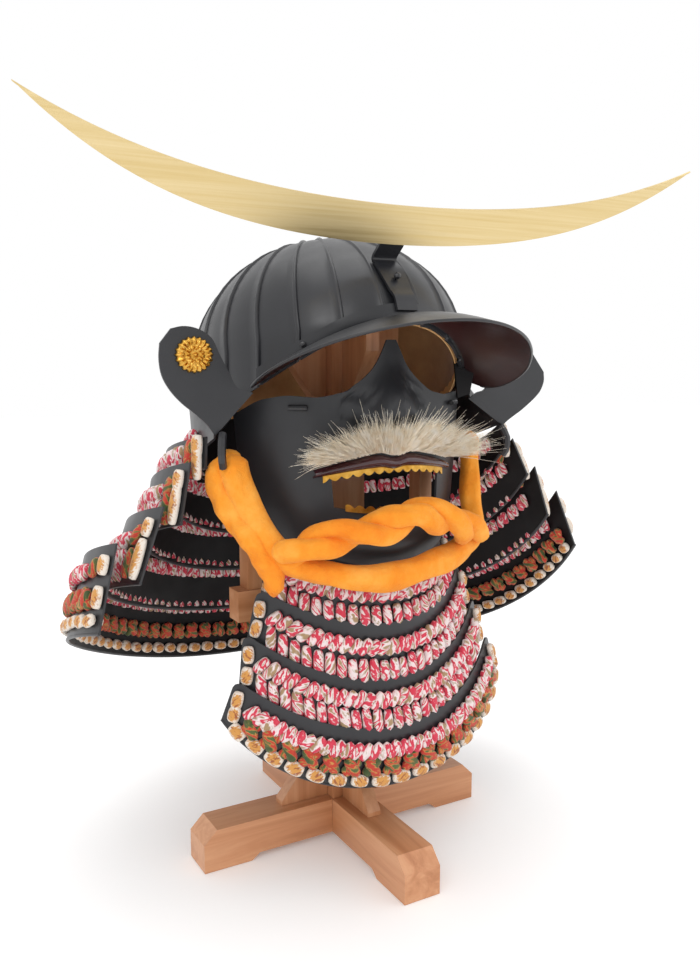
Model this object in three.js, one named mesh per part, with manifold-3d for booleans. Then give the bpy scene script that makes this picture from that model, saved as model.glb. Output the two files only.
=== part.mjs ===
// Samurai helmet with crescent crest, face mask, throat guard and plain wooden stand.
// Millimetres. Z is up, the face looks along -Y, the wearer's right side is -X.
// The origin is on the floor under the middle of the whole. Sizes and points below are
// measured from the middle of the stand's cross; the last lines move the whole to its origin.
import * as THREE from 'three';
import Module from 'manifold-3d';

const wasm = await Module();
wasm.setup();

const GAP = 0.3;
const RAD = Math.PI / 180;

// Stand: crossed foot bars, a square post with fins, two arms with cheek rests.
const BAR_HALF_X = 148;
const BAR_HALF_Y = 146;
const BAR_W = 36;
const BAR_H = 38.9;
const BAR_CHAMFER = 12.5;
const PAD_L = 46;
const PAD_LIFT = 6;
const POST_HALF = 17;
const FIN_T = 13;
const FIN_FOOT = 66;
const FIN_FOOT_H = 120;
const FIN_HEAD = 60;
const FIN_HEAD_Z = 408;
const ARM_Z = 225;
const ARM_H = 28;
const ARM_T = 21;
const ARM_REACH = 108;
const REST_X = 84;
const REST_T = 14;
const REST_W = 18;
const REST_TOP = 380;

// Bowl: an ellipsoid tipped back, with raised seams and straight skirts below its widest line.
const BOWL = { y: 23.5, z: 453, a: 121.5, b: 138, c: 109, tilt: 15 };
const BOWL_T = 2.5;
const SEAMS = 22;
const SEAM_H = 1.5;
const SEAM_HALF = 0.9;
const LINING_T = 1.6;
const LINING_GAP = 0.6;

// Height of the bowl's lower edge: high over the face, low at the back.
const RIM = { back: 390, rise: 96, yBack: 160, span: 270, power: 2.9 };

// Visor: a brim that slopes down and out from the bowl's front edge. Its left half is bent:
// it sags and its rim is a little squarer. Both ends are rounded off towards the bowl.
const VISOR = { x: 8, a: 130.5, y: -72, b: 116, sweep: 92, z: 487, drop: 52 };
const VISOR_BEND = { sag: 9, wide: 1.05, ahead: 1.15 };
const VISOR_END = { from: 0.68, pull: 0.6 };
const VISOR_T = 1.8;
const VISOR_FLANGE = 13;
const VISOR_ROOT = 57;

// Crest bracket and crescent crest.
const STRIP_W = 23;
const STRIP_T = 2.4;
// The crest's middle stands over the bowl's crown and ahead of the bowl's middle.
const CREST = { half: 300, ahead: 129.5, over: 14.8207, lean: 26, rise: 55, width: 32, top2: 0.69, low2: 0.57 };
const CREST_T = 1.6;

// Neck guard lames, each open at the front. Every edge has these columns: y of both front
// ends, half width and height of the right end, the same of the left end, then middle y
// and depth of its arc and the height at the back.
const LAME_T = 1.8;
const EDGE_COLUMNS = ['y', 'xr', 'zr', 'xl', 'zl', 'y0', 'b', 'zb'];
const LAMES = [
  { name: 'neck_lame_top', up: [-56, 107.5, 431, 107.5, 431, 20, 142, 396], low: [-61, 143, 397, 143, 397, -61, 227, 320] },
  { name: 'neck_lame_1', up: [-50, 149, 396, 149, 396, 0, 175, 331], low: [-50, 150, 371, 155, 373, 0, 180, 265] },
  { name: 'neck_lame_2', up: [-50, 163, 376, 164, 380, 2, 185, 288], low: [-50, 172, 327, 184, 344, 3, 189, 222] },
  { name: 'neck_lame_3', up: [-50, 186, 342, 193, 351, 4, 195, 240], low: [-50, 207, 282, 212, 301, 5, 197, 176] },
  { name: 'neck_lame_4', up: [-48, 224, 316, 224, 324, 5, 204, 194], low: [-50, 241, 246, 250, 266, 5, 206, 121] },
];
// How each side's edge falls from front to back: over 1 stays high for longer.
const FALL = { right: 1.5, left: 0.15 };

// Outline of one cheek flap, the folded end of the top lame: x and z from its fold outwards.
const FLAP_Y = -60;
const FLAP_RIGHT = {
  up: [[113, 431], [126, 435], [133, 447], [141, 462], [147, 474], [158, 481], [170, 483], [180, 481]],
  low: [[146, 398], [152, 406], [162, 415], [173, 424], [182, 434], [188, 445], [190, 458], [189, 470]],
};
const FLAP_LEFT = {
  up: [[104, 421], [112, 426], [120, 428], [125, 434], [133, 448], [141, 464], [151, 474], [163, 476], [175, 464]],
  low: [[143.6, 395], [150, 399.5], [157, 403.5], [165, 408], [174, 414], [182.7, 420.6], [188, 426], [192, 435], [191.5, 444]],
};
const MEDALLION_RIGHT = { x: 162, z: 461 };
const MEDALLION_LEFT = { x: 154, z: 457.5 };

// Throat guard plates, each an arc in front: half width x and y, z at the side ends,
// and y, z in the middle (yc, zc).
const THROAT_T = 1.8;
const THROAT = [
  { name: 'throat_plate_1', up: { x: 82.3, y: -38.8, z: 301, yc: -92.3, zc: 288, sweep: 64 }, low: { x: 99, y: -37, z: 254, yc: -91.5, zc: 220, sweep: 61 } },
  { name: 'throat_plate_2', up: { x: 104, y: -44, z: 264, yc: -97, zc: 233, sweep: 40 }, low: { x: 115, y: -44, z: 219, yc: -94, zc: 171, sweep: 40 } },
  { name: 'throat_plate_3', up: { x: 120, y: -49, z: 229, yc: -99.5, zc: 184, sweep: 40 }, low: { x: 126, y: -52, z: 182, yc: -103, zc: 131, sweep: 40 } },
  { name: 'throat_plate_4', up: { x: 131, y: -57.2, z: 192, yc: -107.7, zc: 143, sweep: 45 }, low: { x: 143, y: -54, z: 158, yc: -107.5, zc: 91, sweep: 71 } },
];
// Lacing bands: the part of a plate's height they cover, from and to, and for the neck
// guard their thickness t.
const BAND_T = 1.9;
const THROAT_BANDS = [
  { name: 'throat_lacing_1', plate: 0, from: 0.34, to: 0.93 },
  { name: 'throat_lacing_2', plate: 1, from: 0.27, to: 0.93 },
  { name: 'throat_lacing_3', plate: 2, from: 0.27, to: 0.93 },
  { name: 'throat_lacing_4', plate: 3, from: 0.3, to: 0.52 },
  { name: 'throat_lacing_cross', plate: 3, from: 0.56, to: 0.74 },
  { name: 'throat_lacing_edge', plate: 3, from: 0.79, to: 0.93 },
];
const NECK_BANDS = [
  { name: 'neck_lacing_0', lame: 0, from: 0.52, to: 0.95, t: 5.3 },
  { name: 'neck_lacing_1', lame: 1, from: 0.3, to: 0.95, t: 4.9 },
  { name: 'neck_lacing_2', lame: 2, from: 0.3, to: 0.95, t: 4.2 },
  { name: 'neck_lacing_3', lame: 3, from: 0.3, to: 0.95, t: 4.2 },
  { name: 'neck_lacing_4', lame: 4, from: 0.22, to: 0.4, t: 3 },
  { name: 'neck_lacing_cross', lame: 4, from: 0.52, to: 0.72, t: 3 },
  { name: 'neck_lacing_edge', lame: 4, from: 0.78, to: 0.92, t: 3 },
];

// Face mask: a curved shell. Half width a, middle y0 and depth b by height.
const MASK_T = 2;
const MASK_SWEEP = 76;
const MASK_SECTIONS = [
  { z: 280, a: 92, y0: 4, b: 96 },
  { z: 300, a: 99, y0: 3, b: 99 },
  { z: 337, a: 107, y0: 3, b: 97 },
  { z: 365, a: 111, y0: 3, b: 95 },
  { z: 420, a: 116, y0: 4, b: 94 },
  { z: 475, a: 117, y0: 4, b: 92 },
];
// Upper edge by distance from the middle: bridge of the nose, eye cut, cheek.
const MASK_TOP = [[0, 473], [5, 473], [9, 462], [16, 450], [27, 440], [42, 430], [62, 426], [84, 428], [100, 424], [107, 417], [116, 408]];
const MASK_LOW = [[0, 284], [40, 286], [80, 296], [116, 312]];
const MOUTH = { half: 52, top: 358, bottom: 335 };
// Heights of the nose, its ridge and the nostrils over the mouth's upper edge.
const NOSE = { over: 54, up: 44, down: 17, half: 34, out: 19, ridge: 28, ridgeHalf: 15, ridgeTall: 40, ridgeOut: 4 };
const NOSTRIL = { x: 19, over: 48, r: 13, out: 6 };
const CHIN = { under: 35, half: 46, tall: 26, out: 7 };

// Moustache: a straight brush of horsehair.
const MOUSTACHE = { half: 98, roll: 9, root: 29 };
const NOSE_FOOT = 3.9;

// Chin cord.
const CORD_R = 10.5;
const CORD_TWIST_R = 13;

// Looks by the start of a piece's name: colour, roughness and metalness.
const LOOKS = [
  { start: 'bowl_lining', color: 0x6f4c30, roughness: 0.95, metalness: 0 },
  { start: 'neck_lacing', color: 0xc98f86, roughness: 0.95, metalness: 0 },
  { start: 'throat_lacing', color: 0xd79aa4, roughness: 0.95, metalness: 0 },
  { start: 'upper_lip', color: 0x3d1a1f, roughness: 0.3, metalness: 0 },
  { start: 'upper_teeth', color: 0xc9962f, roughness: 0.35, metalness: 0.8 },
  { start: 'lower_teeth', color: 0xc9962f, roughness: 0.35, metalness: 0.8 },
  { start: 'moustache', color: 0xe8dcc4, roughness: 0.9, metalness: 0 },
  { start: 'crest', color: 0x34353a, roughness: 0.4, metalness: 0.6 },
  { start: 'crescent', color: 0xd8c9a0, roughness: 0.3, metalness: 0.95 },
  { start: 'flap_medallion', color: 0xc79a3c, roughness: 0.35, metalness: 0.9 },
  { start: 'chin_cord', color: 0xf39422, roughness: 0.95, metalness: 0 },
  { start: 'foot_', color: 0xa8683c, roughness: 0.5, metalness: 0 },
  { start: 'head_fin', color: 0xa8683c, roughness: 0.5, metalness: 0 },
  { start: 'post', color: 0xa8683c, roughness: 0.5, metalness: 0 },
  { start: 'arm_', color: 0xa8683c, roughness: 0.5, metalness: 0 },
  { start: 'cheek_rest', color: 0xd7b48a, roughness: 0.55, metalness: 0 },
  { start: '', color: 0x3a3b40, roughness: 0.42, metalness: 0.5 },
];

const group = new THREE.Group();

function put(name, geometry) {
  const { color, roughness, metalness } = LOOKS.find((row) => name.startsWith(row.start));
  const mesh = new THREE.Mesh(geometry, new THREE.MeshStandardMaterial({ color, roughness, metalness }));
  mesh.name = name;
  group.add(mesh);
}

function geometryOf(points, triangles) {
  const g = new THREE.BufferGeometry();
  g.setAttribute('position', new THREE.Float32BufferAttribute(points.flat(), 3));
  g.setIndex(triangles.flat());
  return g;
}

const sub = (p, q) => [p[0] - q[0], p[1] - q[1], p[2] - q[2]];
const cross = (p, q) => [p[1] * q[2] - p[2] * q[1], p[2] * q[0] - p[0] * q[2], p[0] * q[1] - p[1] * q[0]];
const mix = (p, q, f) => p.map((v, i) => v + (q[i] - v) * f);
const along = (p, d, s) => p.map((v, i) => v + d[i] * s);

function unit(v) {
  const l = Math.hypot(...v);
  return v.map((c) => c / l);
}

function table(rows, x) {
  if (x <= rows[0][0]) return rows[0][1];
  for (let i = 1; i < rows.length; i += 1) {
    const [x0, y0] = rows[i - 1];
    const [x1, y1] = rows[i];
    if (x <= x1) return y0 + ((y1 - y0) * (x - x0)) / (x1 - x0);
  }
  return rows[rows.length - 1][1];
}

// A sheet over a grid of points [column][row], from -back to +front along its normals.
// keep says which cells exist, wrap joins the last column to the first.
function sheet(grid, front, back, { keep = () => true, wrap = false } = {}) {
  const nc = grid.length;
  const nr = grid[0].length;
  const cells = wrap ? nc : nc - 1;
  const outer = [];
  const inner = [];
  for (let i = 0; i < nc; i += 1) {
    for (let j = 0; j < nr; j += 1) {
      const i0 = wrap ? (i + nc - 1) % nc : Math.max(i - 1, 0);
      const i1 = wrap ? (i + 1) % nc : Math.min(i + 1, nc - 1);
      const du = sub(grid[i1][j], grid[i0][j]);
      const dv = sub(grid[i][Math.min(j + 1, nr - 1)], grid[i][Math.max(j - 1, 0)]);
      const n = unit(cross(du, dv));
      outer.push(along(grid[i][j], n, front));
      inner.push(along(grid[i][j], n, -back));
    }
  }
  const points = [...outer, ...inner];
  const at = (i, j) => (i % nc) * nr + j;
  const shift = outer.length;
  const has = (i, j) => {
    if (j < 0 || j >= nr - 1) return false;
    if (!wrap && (i < 0 || i >= cells)) return false;
    return keep((i + cells) % cells, j);
  };
  const tris = [];
  const quad = (a, b, c, d) => tris.push([a, b, c], [a, c, d]);
  for (let i = 0; i < cells; i += 1) {
    for (let j = 0; j < nr - 1; j += 1) {
      if (!has(i, j)) continue;
      const [a, b, c, d] = [at(i, j), at(i + 1, j), at(i + 1, j + 1), at(i, j + 1)];
      quad(a, b, c, d);
      quad(d + shift, c + shift, b + shift, a + shift);
      if (!has(i, j - 1)) quad(b, a, a + shift, b + shift);
      if (!has(i + 1, j)) quad(c, b, b + shift, c + shift);
      if (!has(i, j + 1)) quad(d, c, c + shift, d + shift);
      if (!has(i - 1, j)) quad(a, d, d + shift, a + shift);
    }
  }
  const used = new Map();
  const kept = [];
  const index = (k) => {
    if (!used.has(k)) {
      used.set(k, kept.length);
      kept.push(points[k]);
    }
    return used.get(k);
  };
  const out = tris.map((t) => t.map(index));
  return geometryOf(kept, out);
}

// A flat outline [u, v] pushed out by depth, then placed by three axes and an origin.
function prism(outline, depth, origin, uAxis, vAxis) {
  const shape = new THREE.Shape(outline.map(([u, v]) => new THREE.Vector2(u, v)));
  const g = new THREE.ExtrudeGeometry(shape, { depth, bevelEnabled: false, steps: 1 });
  const w = cross(uAxis, vAxis);
  const m = new THREE.Matrix4().makeBasis(new THREE.Vector3(...uAxis), new THREE.Vector3(...vAxis), new THREE.Vector3(...w));
  m.setPosition(...origin);
  g.applyMatrix4(m);
  return g;
}

// A round tube along points, radius by position, closed into a ring or capped.
function tube(path, radius, sides, ring = false) {
  const n = path.length;
  const points = [];
  let side = null;
  for (let i = 0; i < n; i += 1) {
    const before = ring ? path[(i + n - 1) % n] : path[Math.max(i - 1, 0)];
    const after = ring ? path[(i + 1) % n] : path[Math.min(i + 1, n - 1)];
    const t = unit(sub(after, before));
    const seed = side || (Math.abs(t[2]) < 0.9 ? [0, 0, 1] : [1, 0, 0]);
    const lift = unit(cross(cross(t, seed), t));
    side = lift;
    const other = cross(t, lift);
    const r = typeof radius === 'function' ? radius(i / (n - 1)) : radius;
    for (let k = 0; k < sides; k += 1) {
      const a = (2 * Math.PI * k) / sides;
      points.push(along(along(path[i], lift, r * Math.cos(a)), other, r * Math.sin(a)));
    }
  }
  const tris = [];
  const rings = ring ? n : n - 1;
  for (let i = 0; i < rings; i += 1) {
    for (let k = 0; k < sides; k += 1) {
      const a = i * sides + k;
      const b = i * sides + ((k + 1) % sides);
      const c = ((i + 1) % n) * sides + ((k + 1) % sides);
      const d = ((i + 1) % n) * sides + k;
      tris.push([a, b, c], [a, c, d]);
    }
  }
  if (!ring) {
    const first = points.push(path[0]) - 1;
    const last = points.push(path[n - 1]) - 1;
    for (let k = 0; k < sides; k += 1) {
      tris.push([first, (k + 1) % sides, k]);
      tris.push([last, (n - 1) * sides + k, (n - 1) * sides + ((k + 1) % sides)]);
    }
  }
  return geometryOf(points, tris);
}

// Catmull-Rom points through a few given ones.
function smooth(points, count, ring = false) {
  const curve = new THREE.CatmullRomCurve3(points.map((p) => new THREE.Vector3(...p)), ring, 'centripetal');
  const list = curve.getSpacedPoints(count);
  if (ring) list.pop();
  return list.map((p) => [p.x, p.y, p.z]);
}

function solidOf(geometry) {
  const g = geometry.index ? geometry : geometry.clone();
  const pos = g.attributes.position.array;
  const index = g.index ? g.index.array : Array.from({ length: pos.length / 3 }, (_, i) => i);
  const mesh = new wasm.Mesh({ numProp: 3, vertProperties: Float32Array.from(pos), triVerts: Uint32Array.from(index) });
  mesh.merge();
  return new wasm.Manifold(mesh);
}

function geometryFrom(solid) {
  const mesh = solid.getMesh();
  const g = new THREE.BufferGeometry();
  g.setAttribute('position', new THREE.Float32BufferAttribute(mesh.vertProperties, 3));
  g.setIndex(Array.from(mesh.triVerts));
  return g;
}

function fuse(geometries) {
  return geometryFrom(geometries.map(solidOf).reduce((a, b) => a.add(b)));
}

function ball(centre, r, wide = 10, high = 6) {
  const g = new THREE.SphereGeometry(r, wide, high);
  g.translate(...centre);
  return g;
}

function mirrored(geometry) {
  const g = geometry.clone();
  const pos = g.attributes.position;
  for (let i = 0; i < pos.count; i += 1) pos.setX(i, -pos.getX(i));
  if (g.index) {
    const a = g.index.array;
    for (let i = 0; i < a.length; i += 3) [a[i], a[i + 1]] = [a[i + 1], a[i]];
    return g;
  }
  for (let i = 0; i < pos.count; i += 3) {
    const p = [pos.getX(i), pos.getY(i), pos.getZ(i)];
    pos.setXYZ(i, pos.getX(i + 1), pos.getY(i + 1), pos.getZ(i + 1));
    pos.setXYZ(i + 1, ...p);
  }
  return g;
}

// Bowl surface: direction az from the front (0) towards +X, latitude lat above the widest
// line, grow outward. Points below the line hang straight down to the given height.
const tiltSin = Math.sin(BOWL.tilt * RAD);
const tiltCos = Math.cos(BOWL.tilt * RAD);

function bowlPoint(az, lat, grow) {
  const flat = Math.cos(lat * RAD);
  const x = (BOWL.a + grow) * Math.sin(az * RAD) * flat;
  const f = (BOWL.b + grow) * Math.cos(az * RAD) * flat;
  const u = (BOWL.c + grow) * Math.sin(lat * RAD);
  return [x, BOWL.y - f * tiltCos + u * tiltSin, BOWL.z + f * tiltSin + u * tiltCos];
}

function rimZ(y) {
  return RIM.back + RIM.rise * (Math.max(RIM.yBack - y, 0) / RIM.span) ** RIM.power;
}

const SKIRT_ROWS = 1;
const DOME_LATS = [16, 33, 50, 66, 80];

function bowlColumn(az, grow, lift) {
  const waist = bowlPoint(az, 0, grow);
  const low = Math.min(rimZ(waist[1]) + lift, waist[2] - 1);
  const column = [];
  for (let k = 0; k < SKIRT_ROWS; k += 1) {
    column.push([waist[0], waist[1], low + ((waist[2] - low) * k) / SKIRT_ROWS]);
  }
  column.push(waist);
  for (const lat of DOME_LATS) column.push(bowlPoint(az, lat, grow));
  return column;
}

// A closed dome shell between two growths; seam adds the raised lines on the outside.
function domeShell(outerGrow, innerGrow, azimuths, seamAt, lift) {
  const columns = azimuths.map((az, i) => {
    const h = seamAt(i);
    const column = bowlColumn(az, outerGrow, lift);
    if (!h) return column;
    const raised = bowlColumn(az, outerGrow + h, lift);
    return column.map((p, j) => (j < column.length - 1 ? raised[j] : p));
  });
  const inside = azimuths.map((az) => bowlColumn(az, innerGrow, lift));
  const nr = columns[0].length;
  const nc = columns.length;
  const points = [...columns.flat(), ...inside.flat()];
  const shift = nc * nr;
  const tris = [];
  for (let i = 0; i < nc; i += 1) {
    const n = (i + 1) % nc;
    for (let j = 0; j < nr - 1; j += 1) {
      const [a, b, c, d] = [i * nr + j, n * nr + j, n * nr + j + 1, i * nr + j + 1];
      tris.push([a, b, c], [a, c, d]);
      tris.push([d + shift, c + shift, b + shift], [d + shift, b + shift, a + shift]);
    }
    tris.push([n * nr, i * nr, i * nr + shift], [n * nr, i * nr + shift, n * nr + shift]);
  }
  const crown = points.push(bowlPoint(0, 90, outerGrow)) - 1;
  const under = points.push(bowlPoint(0, 90, innerGrow)) - 1;
  for (let i = 0; i < nc; i += 1) {
    const n = (i + 1) % nc;
    tris.push([i * nr + nr - 1, n * nr + nr - 1, crown]);
    tris.push([n * nr + nr - 1 + shift, i * nr + nr - 1 + shift, under]);
  }
  return geometryOf(points, tris);
}

const seamAzimuths = [];
for (let k = 0; k < SEAMS; k += 1) {
  const mid = ((k + 0.5) * 360) / SEAMS;
  seamAzimuths.push(mid - SEAM_HALF, mid, mid + SEAM_HALF);
}
put('bowl', domeShell(0, -BOWL_T, seamAzimuths, (i) => (i % 3 === 1 ? SEAM_H : 0), 0));

const liningAzimuths = seamAzimuths.filter((_, i) => i % 3 === 1);
const LINING_OUT = -BOWL_T - LINING_GAP;
put('bowl_lining', domeShell(LINING_OUT, LINING_OUT - LINING_T, liningAzimuths, () => 0, 5));

// Visor
function visorRim(s) {
  const t = s * VISOR.sweep * RAD;
  const bent = s > 0 && Math.cos(t) > 0;
  const ahead = bent ? Math.cos(t) ** VISOR_BEND.ahead : Math.cos(t);
  const wide = s > 0 ? Math.sin(t) ** VISOR_BEND.wide : Math.sin(t);
  const sag = s > 0 ? VISOR_BEND.sag * s * s : 0;
  return [VISOR.x + VISOR.a * wide, VISOR.y - VISOR.b * ahead, VISOR.z - VISOR.drop * (1 - ahead) - sag];
}

const FLANGE_OFF = SEAM_H + GAP + VISOR_T / 2 + 0.9;

function visorColumn(s) {
  const az = s * VISOR_ROOT;
  const waist = bowlPoint(az, 0, FLANGE_OFF);
  const low = rimZ(waist[1]);
  const root = [waist[0], waist[1], low + 0.5];
  const high = low + VISOR_FLANGE;
  let top = [waist[0], waist[1], high];
  if (high > waist[2]) {
    const lat = Math.asin((high - waist[2]) / (BOWL.c + FLANGE_OFF) / tiltCos) / RAD;
    top = bowlPoint(az, lat, FLANGE_OFF);
  }
  const end = Math.max(0, Math.abs(s) - VISOR_END.from) / (1 - VISOR_END.from);
  const rim = mix(visorRim(s), root, VISOR_END.pull * (1 - Math.sqrt(Math.max(0, 1 - end * end))));
  const arch = (f) => {
    const p = mix(root, rim, f);
    return [p[0], p[1], p[2] + 5 * Math.sin(Math.PI * f) * (1 - s * s)];
  };
  return [rim, arch(0.66), arch(0.33), root, top];
}
const visorGrid = [];
for (let i = 0; i <= 22; i += 1) visorGrid.push(visorColumn(Math.sin(((i - 11) / 22) * Math.PI)));
put('visor', sheet(visorGrid, VISOR_T / 2, VISOR_T / 2));

// Neck guard
function arcPoint(row, s, fall) {
  const e = Object.fromEntries(EDGE_COLUMNS.map((key, i) => [key, row[i]]));
  const start = Math.acos((e.y0 - e.y) / e.b);
  const t = start + s * (2 * Math.PI - 2 * start);
  const onRight = s < 0.5;
  const wide = (onRight ? e.xr : e.xl) / Math.sin(start);
  const end = onRight ? e.zr : e.zl;
  const k = onRight ? fall.right : fall.left;
  const w = (1 + Math.cos(t)) / (1 + Math.cos(start));
  return [-wide * Math.sin(t), e.y0 - e.b * Math.cos(t), e.zb + (end - e.zb) * (k * w + (1 - k) * w * w)];
}

const LAME_COLUMNS = 24;

function lameGrid(lame, rows) {
  const grid = [];
  for (let i = 0; i <= LAME_COLUMNS; i += 1) {
    const s = i / LAME_COLUMNS;
    const fall = lame === LAMES[0] ? { right: 1, left: 1 } : FALL;
    const up = arcPoint(lame.up, s, fall);
    const low = arcPoint(lame.low, s, fall);
    grid.push(rows.map((f) => mix(low, up, 1 - f)));
  }
  return grid;
}

// The lower edges turn the sheet's outside away from the head: columns run from the
// wearer's right round the back, rows from the lower edge up.
for (const lame of LAMES.slice(1)) {
  put(lame.name, sheet(lameGrid(lame, [1, 0.5, 0]), LAME_T / 2, LAME_T / 2));
}

// Top lame with its folded cheek flaps.
function flapColumns(side, flap) {
  return flap.up.map((up, k) => {
    const low = flap.low[k];
    const point = (f) => [side * (low[0] + (up[0] - low[0]) * f), FLAP_Y, low[1] + (up[1] - low[1]) * f];
    return [point(0), point(0.5), point(1)];
  });
}
const topGrid = lameGrid(LAMES[0], [1, 0.5, 0]);
const rightFlap = flapColumns(-1, FLAP_RIGHT).reverse();
const leftFlap = flapColumns(1, FLAP_LEFT);
put('neck_lame_top', sheet([...rightFlap, ...topGrid.slice(1, -1), ...leftFlap], LAME_T / 2, LAME_T / 2));

function bandGrid(grid, from, to, skip) {
  return grid.slice(skip, grid.length - skip).map(([low, , up]) => [mix(low, up, 1 - to), mix(low, up, 1 - from)]);
}

for (const band of NECK_BANDS) {
  const grid = lameGrid(LAMES[band.lame], [1, 0.5, 0]);
  const near = LAME_T / 2 + (band.lame ? 4 : 6) * GAP;
  put(band.name, sheet(bandGrid(grid, band.from, band.to, band.lame ? 0 : 3), -near, near + band.t));
}

// Throat guard
function frontPoint(e, s) {
  const t = (1 - Math.cos(s * e.sweep * RAD)) / (1 - Math.cos(e.sweep * RAD));
  return [(e.x * Math.sin(s * e.sweep * RAD)) / Math.sin(e.sweep * RAD), e.yc + (e.y - e.yc) * t, e.zc + (e.z - e.zc) * t];
}

function throatGrid(plate) {
  const grid = [];
  for (let i = 0; i <= 16; i += 1) {
    const s = -1 + i / 8;
    const low = frontPoint(plate.low, s);
    const up = frontPoint(plate.up, s);
    grid.push([low, mix(low, up, 0.5), up]);
  }
  return grid;
}
for (const plate of THROAT) put(plate.name, sheet(throatGrid(plate), THROAT_T / 2, THROAT_T / 2));
for (const band of THROAT_BANDS) {
  const near = THROAT_T / 2 + 2.5 * GAP;
  put(band.name, sheet(bandGrid(throatGrid(THROAT[band.plate]), band.from, band.to, 0), near + BAND_T, -near));
}

// Face mask
function maskSection(z) {
  const pick = (key) => table(MASK_SECTIONS.map((s) => [s.z, s[key]]), z);
  return { a: pick('a'), y0: pick('y0'), b: pick('b') };
}

const bump = (d) => (Math.abs(d) < 1 ? (1 + Math.cos(Math.PI * d)) / 2 : 0);

function noseOut(x, z) {
  const base = MOUTH.top + NOSE.over;
  const rise = z > base ? (z - base) / NOSE.up : (base - z) / NOSE.down;
  const half = NOSE.half * (z > base ? 1 - 0.45 * Math.min(rise, 1) : 1);
  const ridge = NOSE.ridgeOut * bump(x / NOSE.ridgeHalf) * bump((z - base - NOSE.ridge) / NOSE.ridgeTall);
  const wing = bump(Math.hypot(Math.abs(x) - NOSTRIL.x, z - MOUTH.top - NOSTRIL.over) / NOSTRIL.r);
  return NOSE.out * bump(x / half) * bump(rise) + ridge + NOSTRIL.out * wing;
}

function chinOut(x, z) {
  return CHIN.out * bump(x / CHIN.half) * bump((z - MOUTH.bottom + CHIN.under) / CHIN.tall);
}

function maskPoint(x, z) {
  const m = maskSection(z);
  const q = Math.min(Math.abs(x) / m.a, Math.sin(MASK_SWEEP * RAD));
  const xx = Math.sign(x) * q * m.a;
  return [xx, m.y0 - m.b * Math.sqrt(1 - q * q) - noseOut(xx, z) - chinOut(xx, z), z];
}

// Columns of the mask by their x at eye level, rows from the lower edge up; the mouth's
// corners lie on the grid.
const MOUTH_COLUMN = 55;
const MASK_X = [0, 5, 10, 16, 22, 30, 42, MOUTH_COLUMN, 68, 80, 91, 100, 107, 112.5];
const MASK_ROWS = 5;
const MASK_EYE = 116;
const maskColumns = [...MASK_X.slice(1).reverse().map((x) => -x), ...MASK_X];

function maskColumn(x) {
  const low = table(MASK_LOW, Math.abs(x));
  const top = table(MASK_TOP, Math.abs(x));
  const bow = 5 * Math.max(1 - (x / MOUTH_COLUMN) ** 2, 0);
  const under = MOUTH.bottom - bow;
  const over = MOUTH.top + bow;
  const heights = [low, mix([low], [under], 0.3)[0], mix([low], [under], 0.65)[0], under];
  for (let k = 0; k <= MASK_ROWS; k += 1) heights.push(over + ((top - over) * k) / MASK_ROWS);
  return heights.map((z) => maskPoint((x / MASK_EYE) * maskSection(z).a, z));
}
const maskGrid = maskColumns.map(maskColumn);
const mouthFrom = maskColumns.indexOf(-MOUTH_COLUMN);
const mouthTo = maskColumns.indexOf(MOUTH_COLUMN);
const keepMask = (i, j) => !(j === 3 && i >= mouthFrom && i < mouthTo);
put('face_mask', sheet(maskGrid, MASK_T, 0, { keep: keepMask }));

// Strips that follow the mask's face: lip and teeth. Rows by x with lower and upper height.
function faceStrip(xs, lowAt, highAt, near, far) {
  const grid = xs.map((x) => [maskPoint(x, lowAt(x)), maskPoint(x, highAt(x))]);
  return sheet(grid, far, -near);
}
const span = (half, n) => Array.from({ length: n + 1 }, (_, i) => -half + (2 * half * i) / n);
const bowAt = (x) => 5 * Math.max(1 - (x / MOUTH.half) ** 2, -0.9);
const FACE_OFF = MASK_T + 2 * GAP;
const lipLow = (x) => MOUTH.top + 5 + bowAt(x);
const lipHigh = (x) => lipLow(x) + 10 - 3 * (x / 63) ** 2;
put('upper_lip', faceStrip(span(67, 14), lipLow, lipHigh, FACE_OFF, FACE_OFF + 6));
const toothWave = (x) => 2.2 * Math.abs(Math.sin((Math.PI * x) / 9.2));
const TOOTH_T = 1.2;
const teethLow = (x) => lipLow(x) - 8 - toothWave(x);
put('upper_teeth', faceStrip(span(54, 24), teethLow, (x) => lipLow(x) - 1.5, FACE_OFF, FACE_OFF + TOOTH_T));
const chinTeeth = (x) => MOUTH.bottom - 4 - bowAt(x);
const underOff = FACE_OFF + 1;
put('lower_teeth', faceStrip(span(44, 20), chinTeeth, (x) => chinTeeth(x) + 6 + toothWave(x), underOff, underOff + TOOTH_T));

// Moustache: a backing roll with locks fused to it.
function moustache() {
  const root = MOUTH.top + MOUSTACHE.root;
  const side = MOUSTACHE.half;
  const ends = [
    [-side, -98, root - 12], [-60, -112, root - 7], [-20, -121, root - 2],
    [20, -121, root], [60, -112, root - 2], [side, -98, root - 2],
  ];
  const path = smooth(ends, 12);
  const parts = [tube(path, (f) => 3 + MOUSTACHE.roll * Math.sin(Math.PI * f) ** 0.5, 6)];
  const seat = maskPoint(0, root);
  seat[1] -= MASK_T + GAP + NOSE_FOOT;
  parts.push(tube([seat, [0, -118, root]], 3.4, 6));
  const locks = 11;
  for (let k = 0; k < locks; k += 1) {
    const f = (k + 0.5) / locks;
    const at = path[Math.round(f * 12)];
    const lean = (f - 0.5) * 2;
    const up = [at[0] + lean * 16, at[1] - 4, at[2] + 26 - 12 * Math.abs(lean) + 3 * (k % 2)];
    const down = [at[0] + lean * 20, at[1] - 4, at[2] - 14 - 2 * (k % 2)];
    parts.push(tube([at, up], (g) => 7 - 6 * g, 5));
    parts.push(tube([at, down], (g) => 7 - 6 * g, 5));
  }
  return fuse(parts);
}
put('moustache', moustache());

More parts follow.
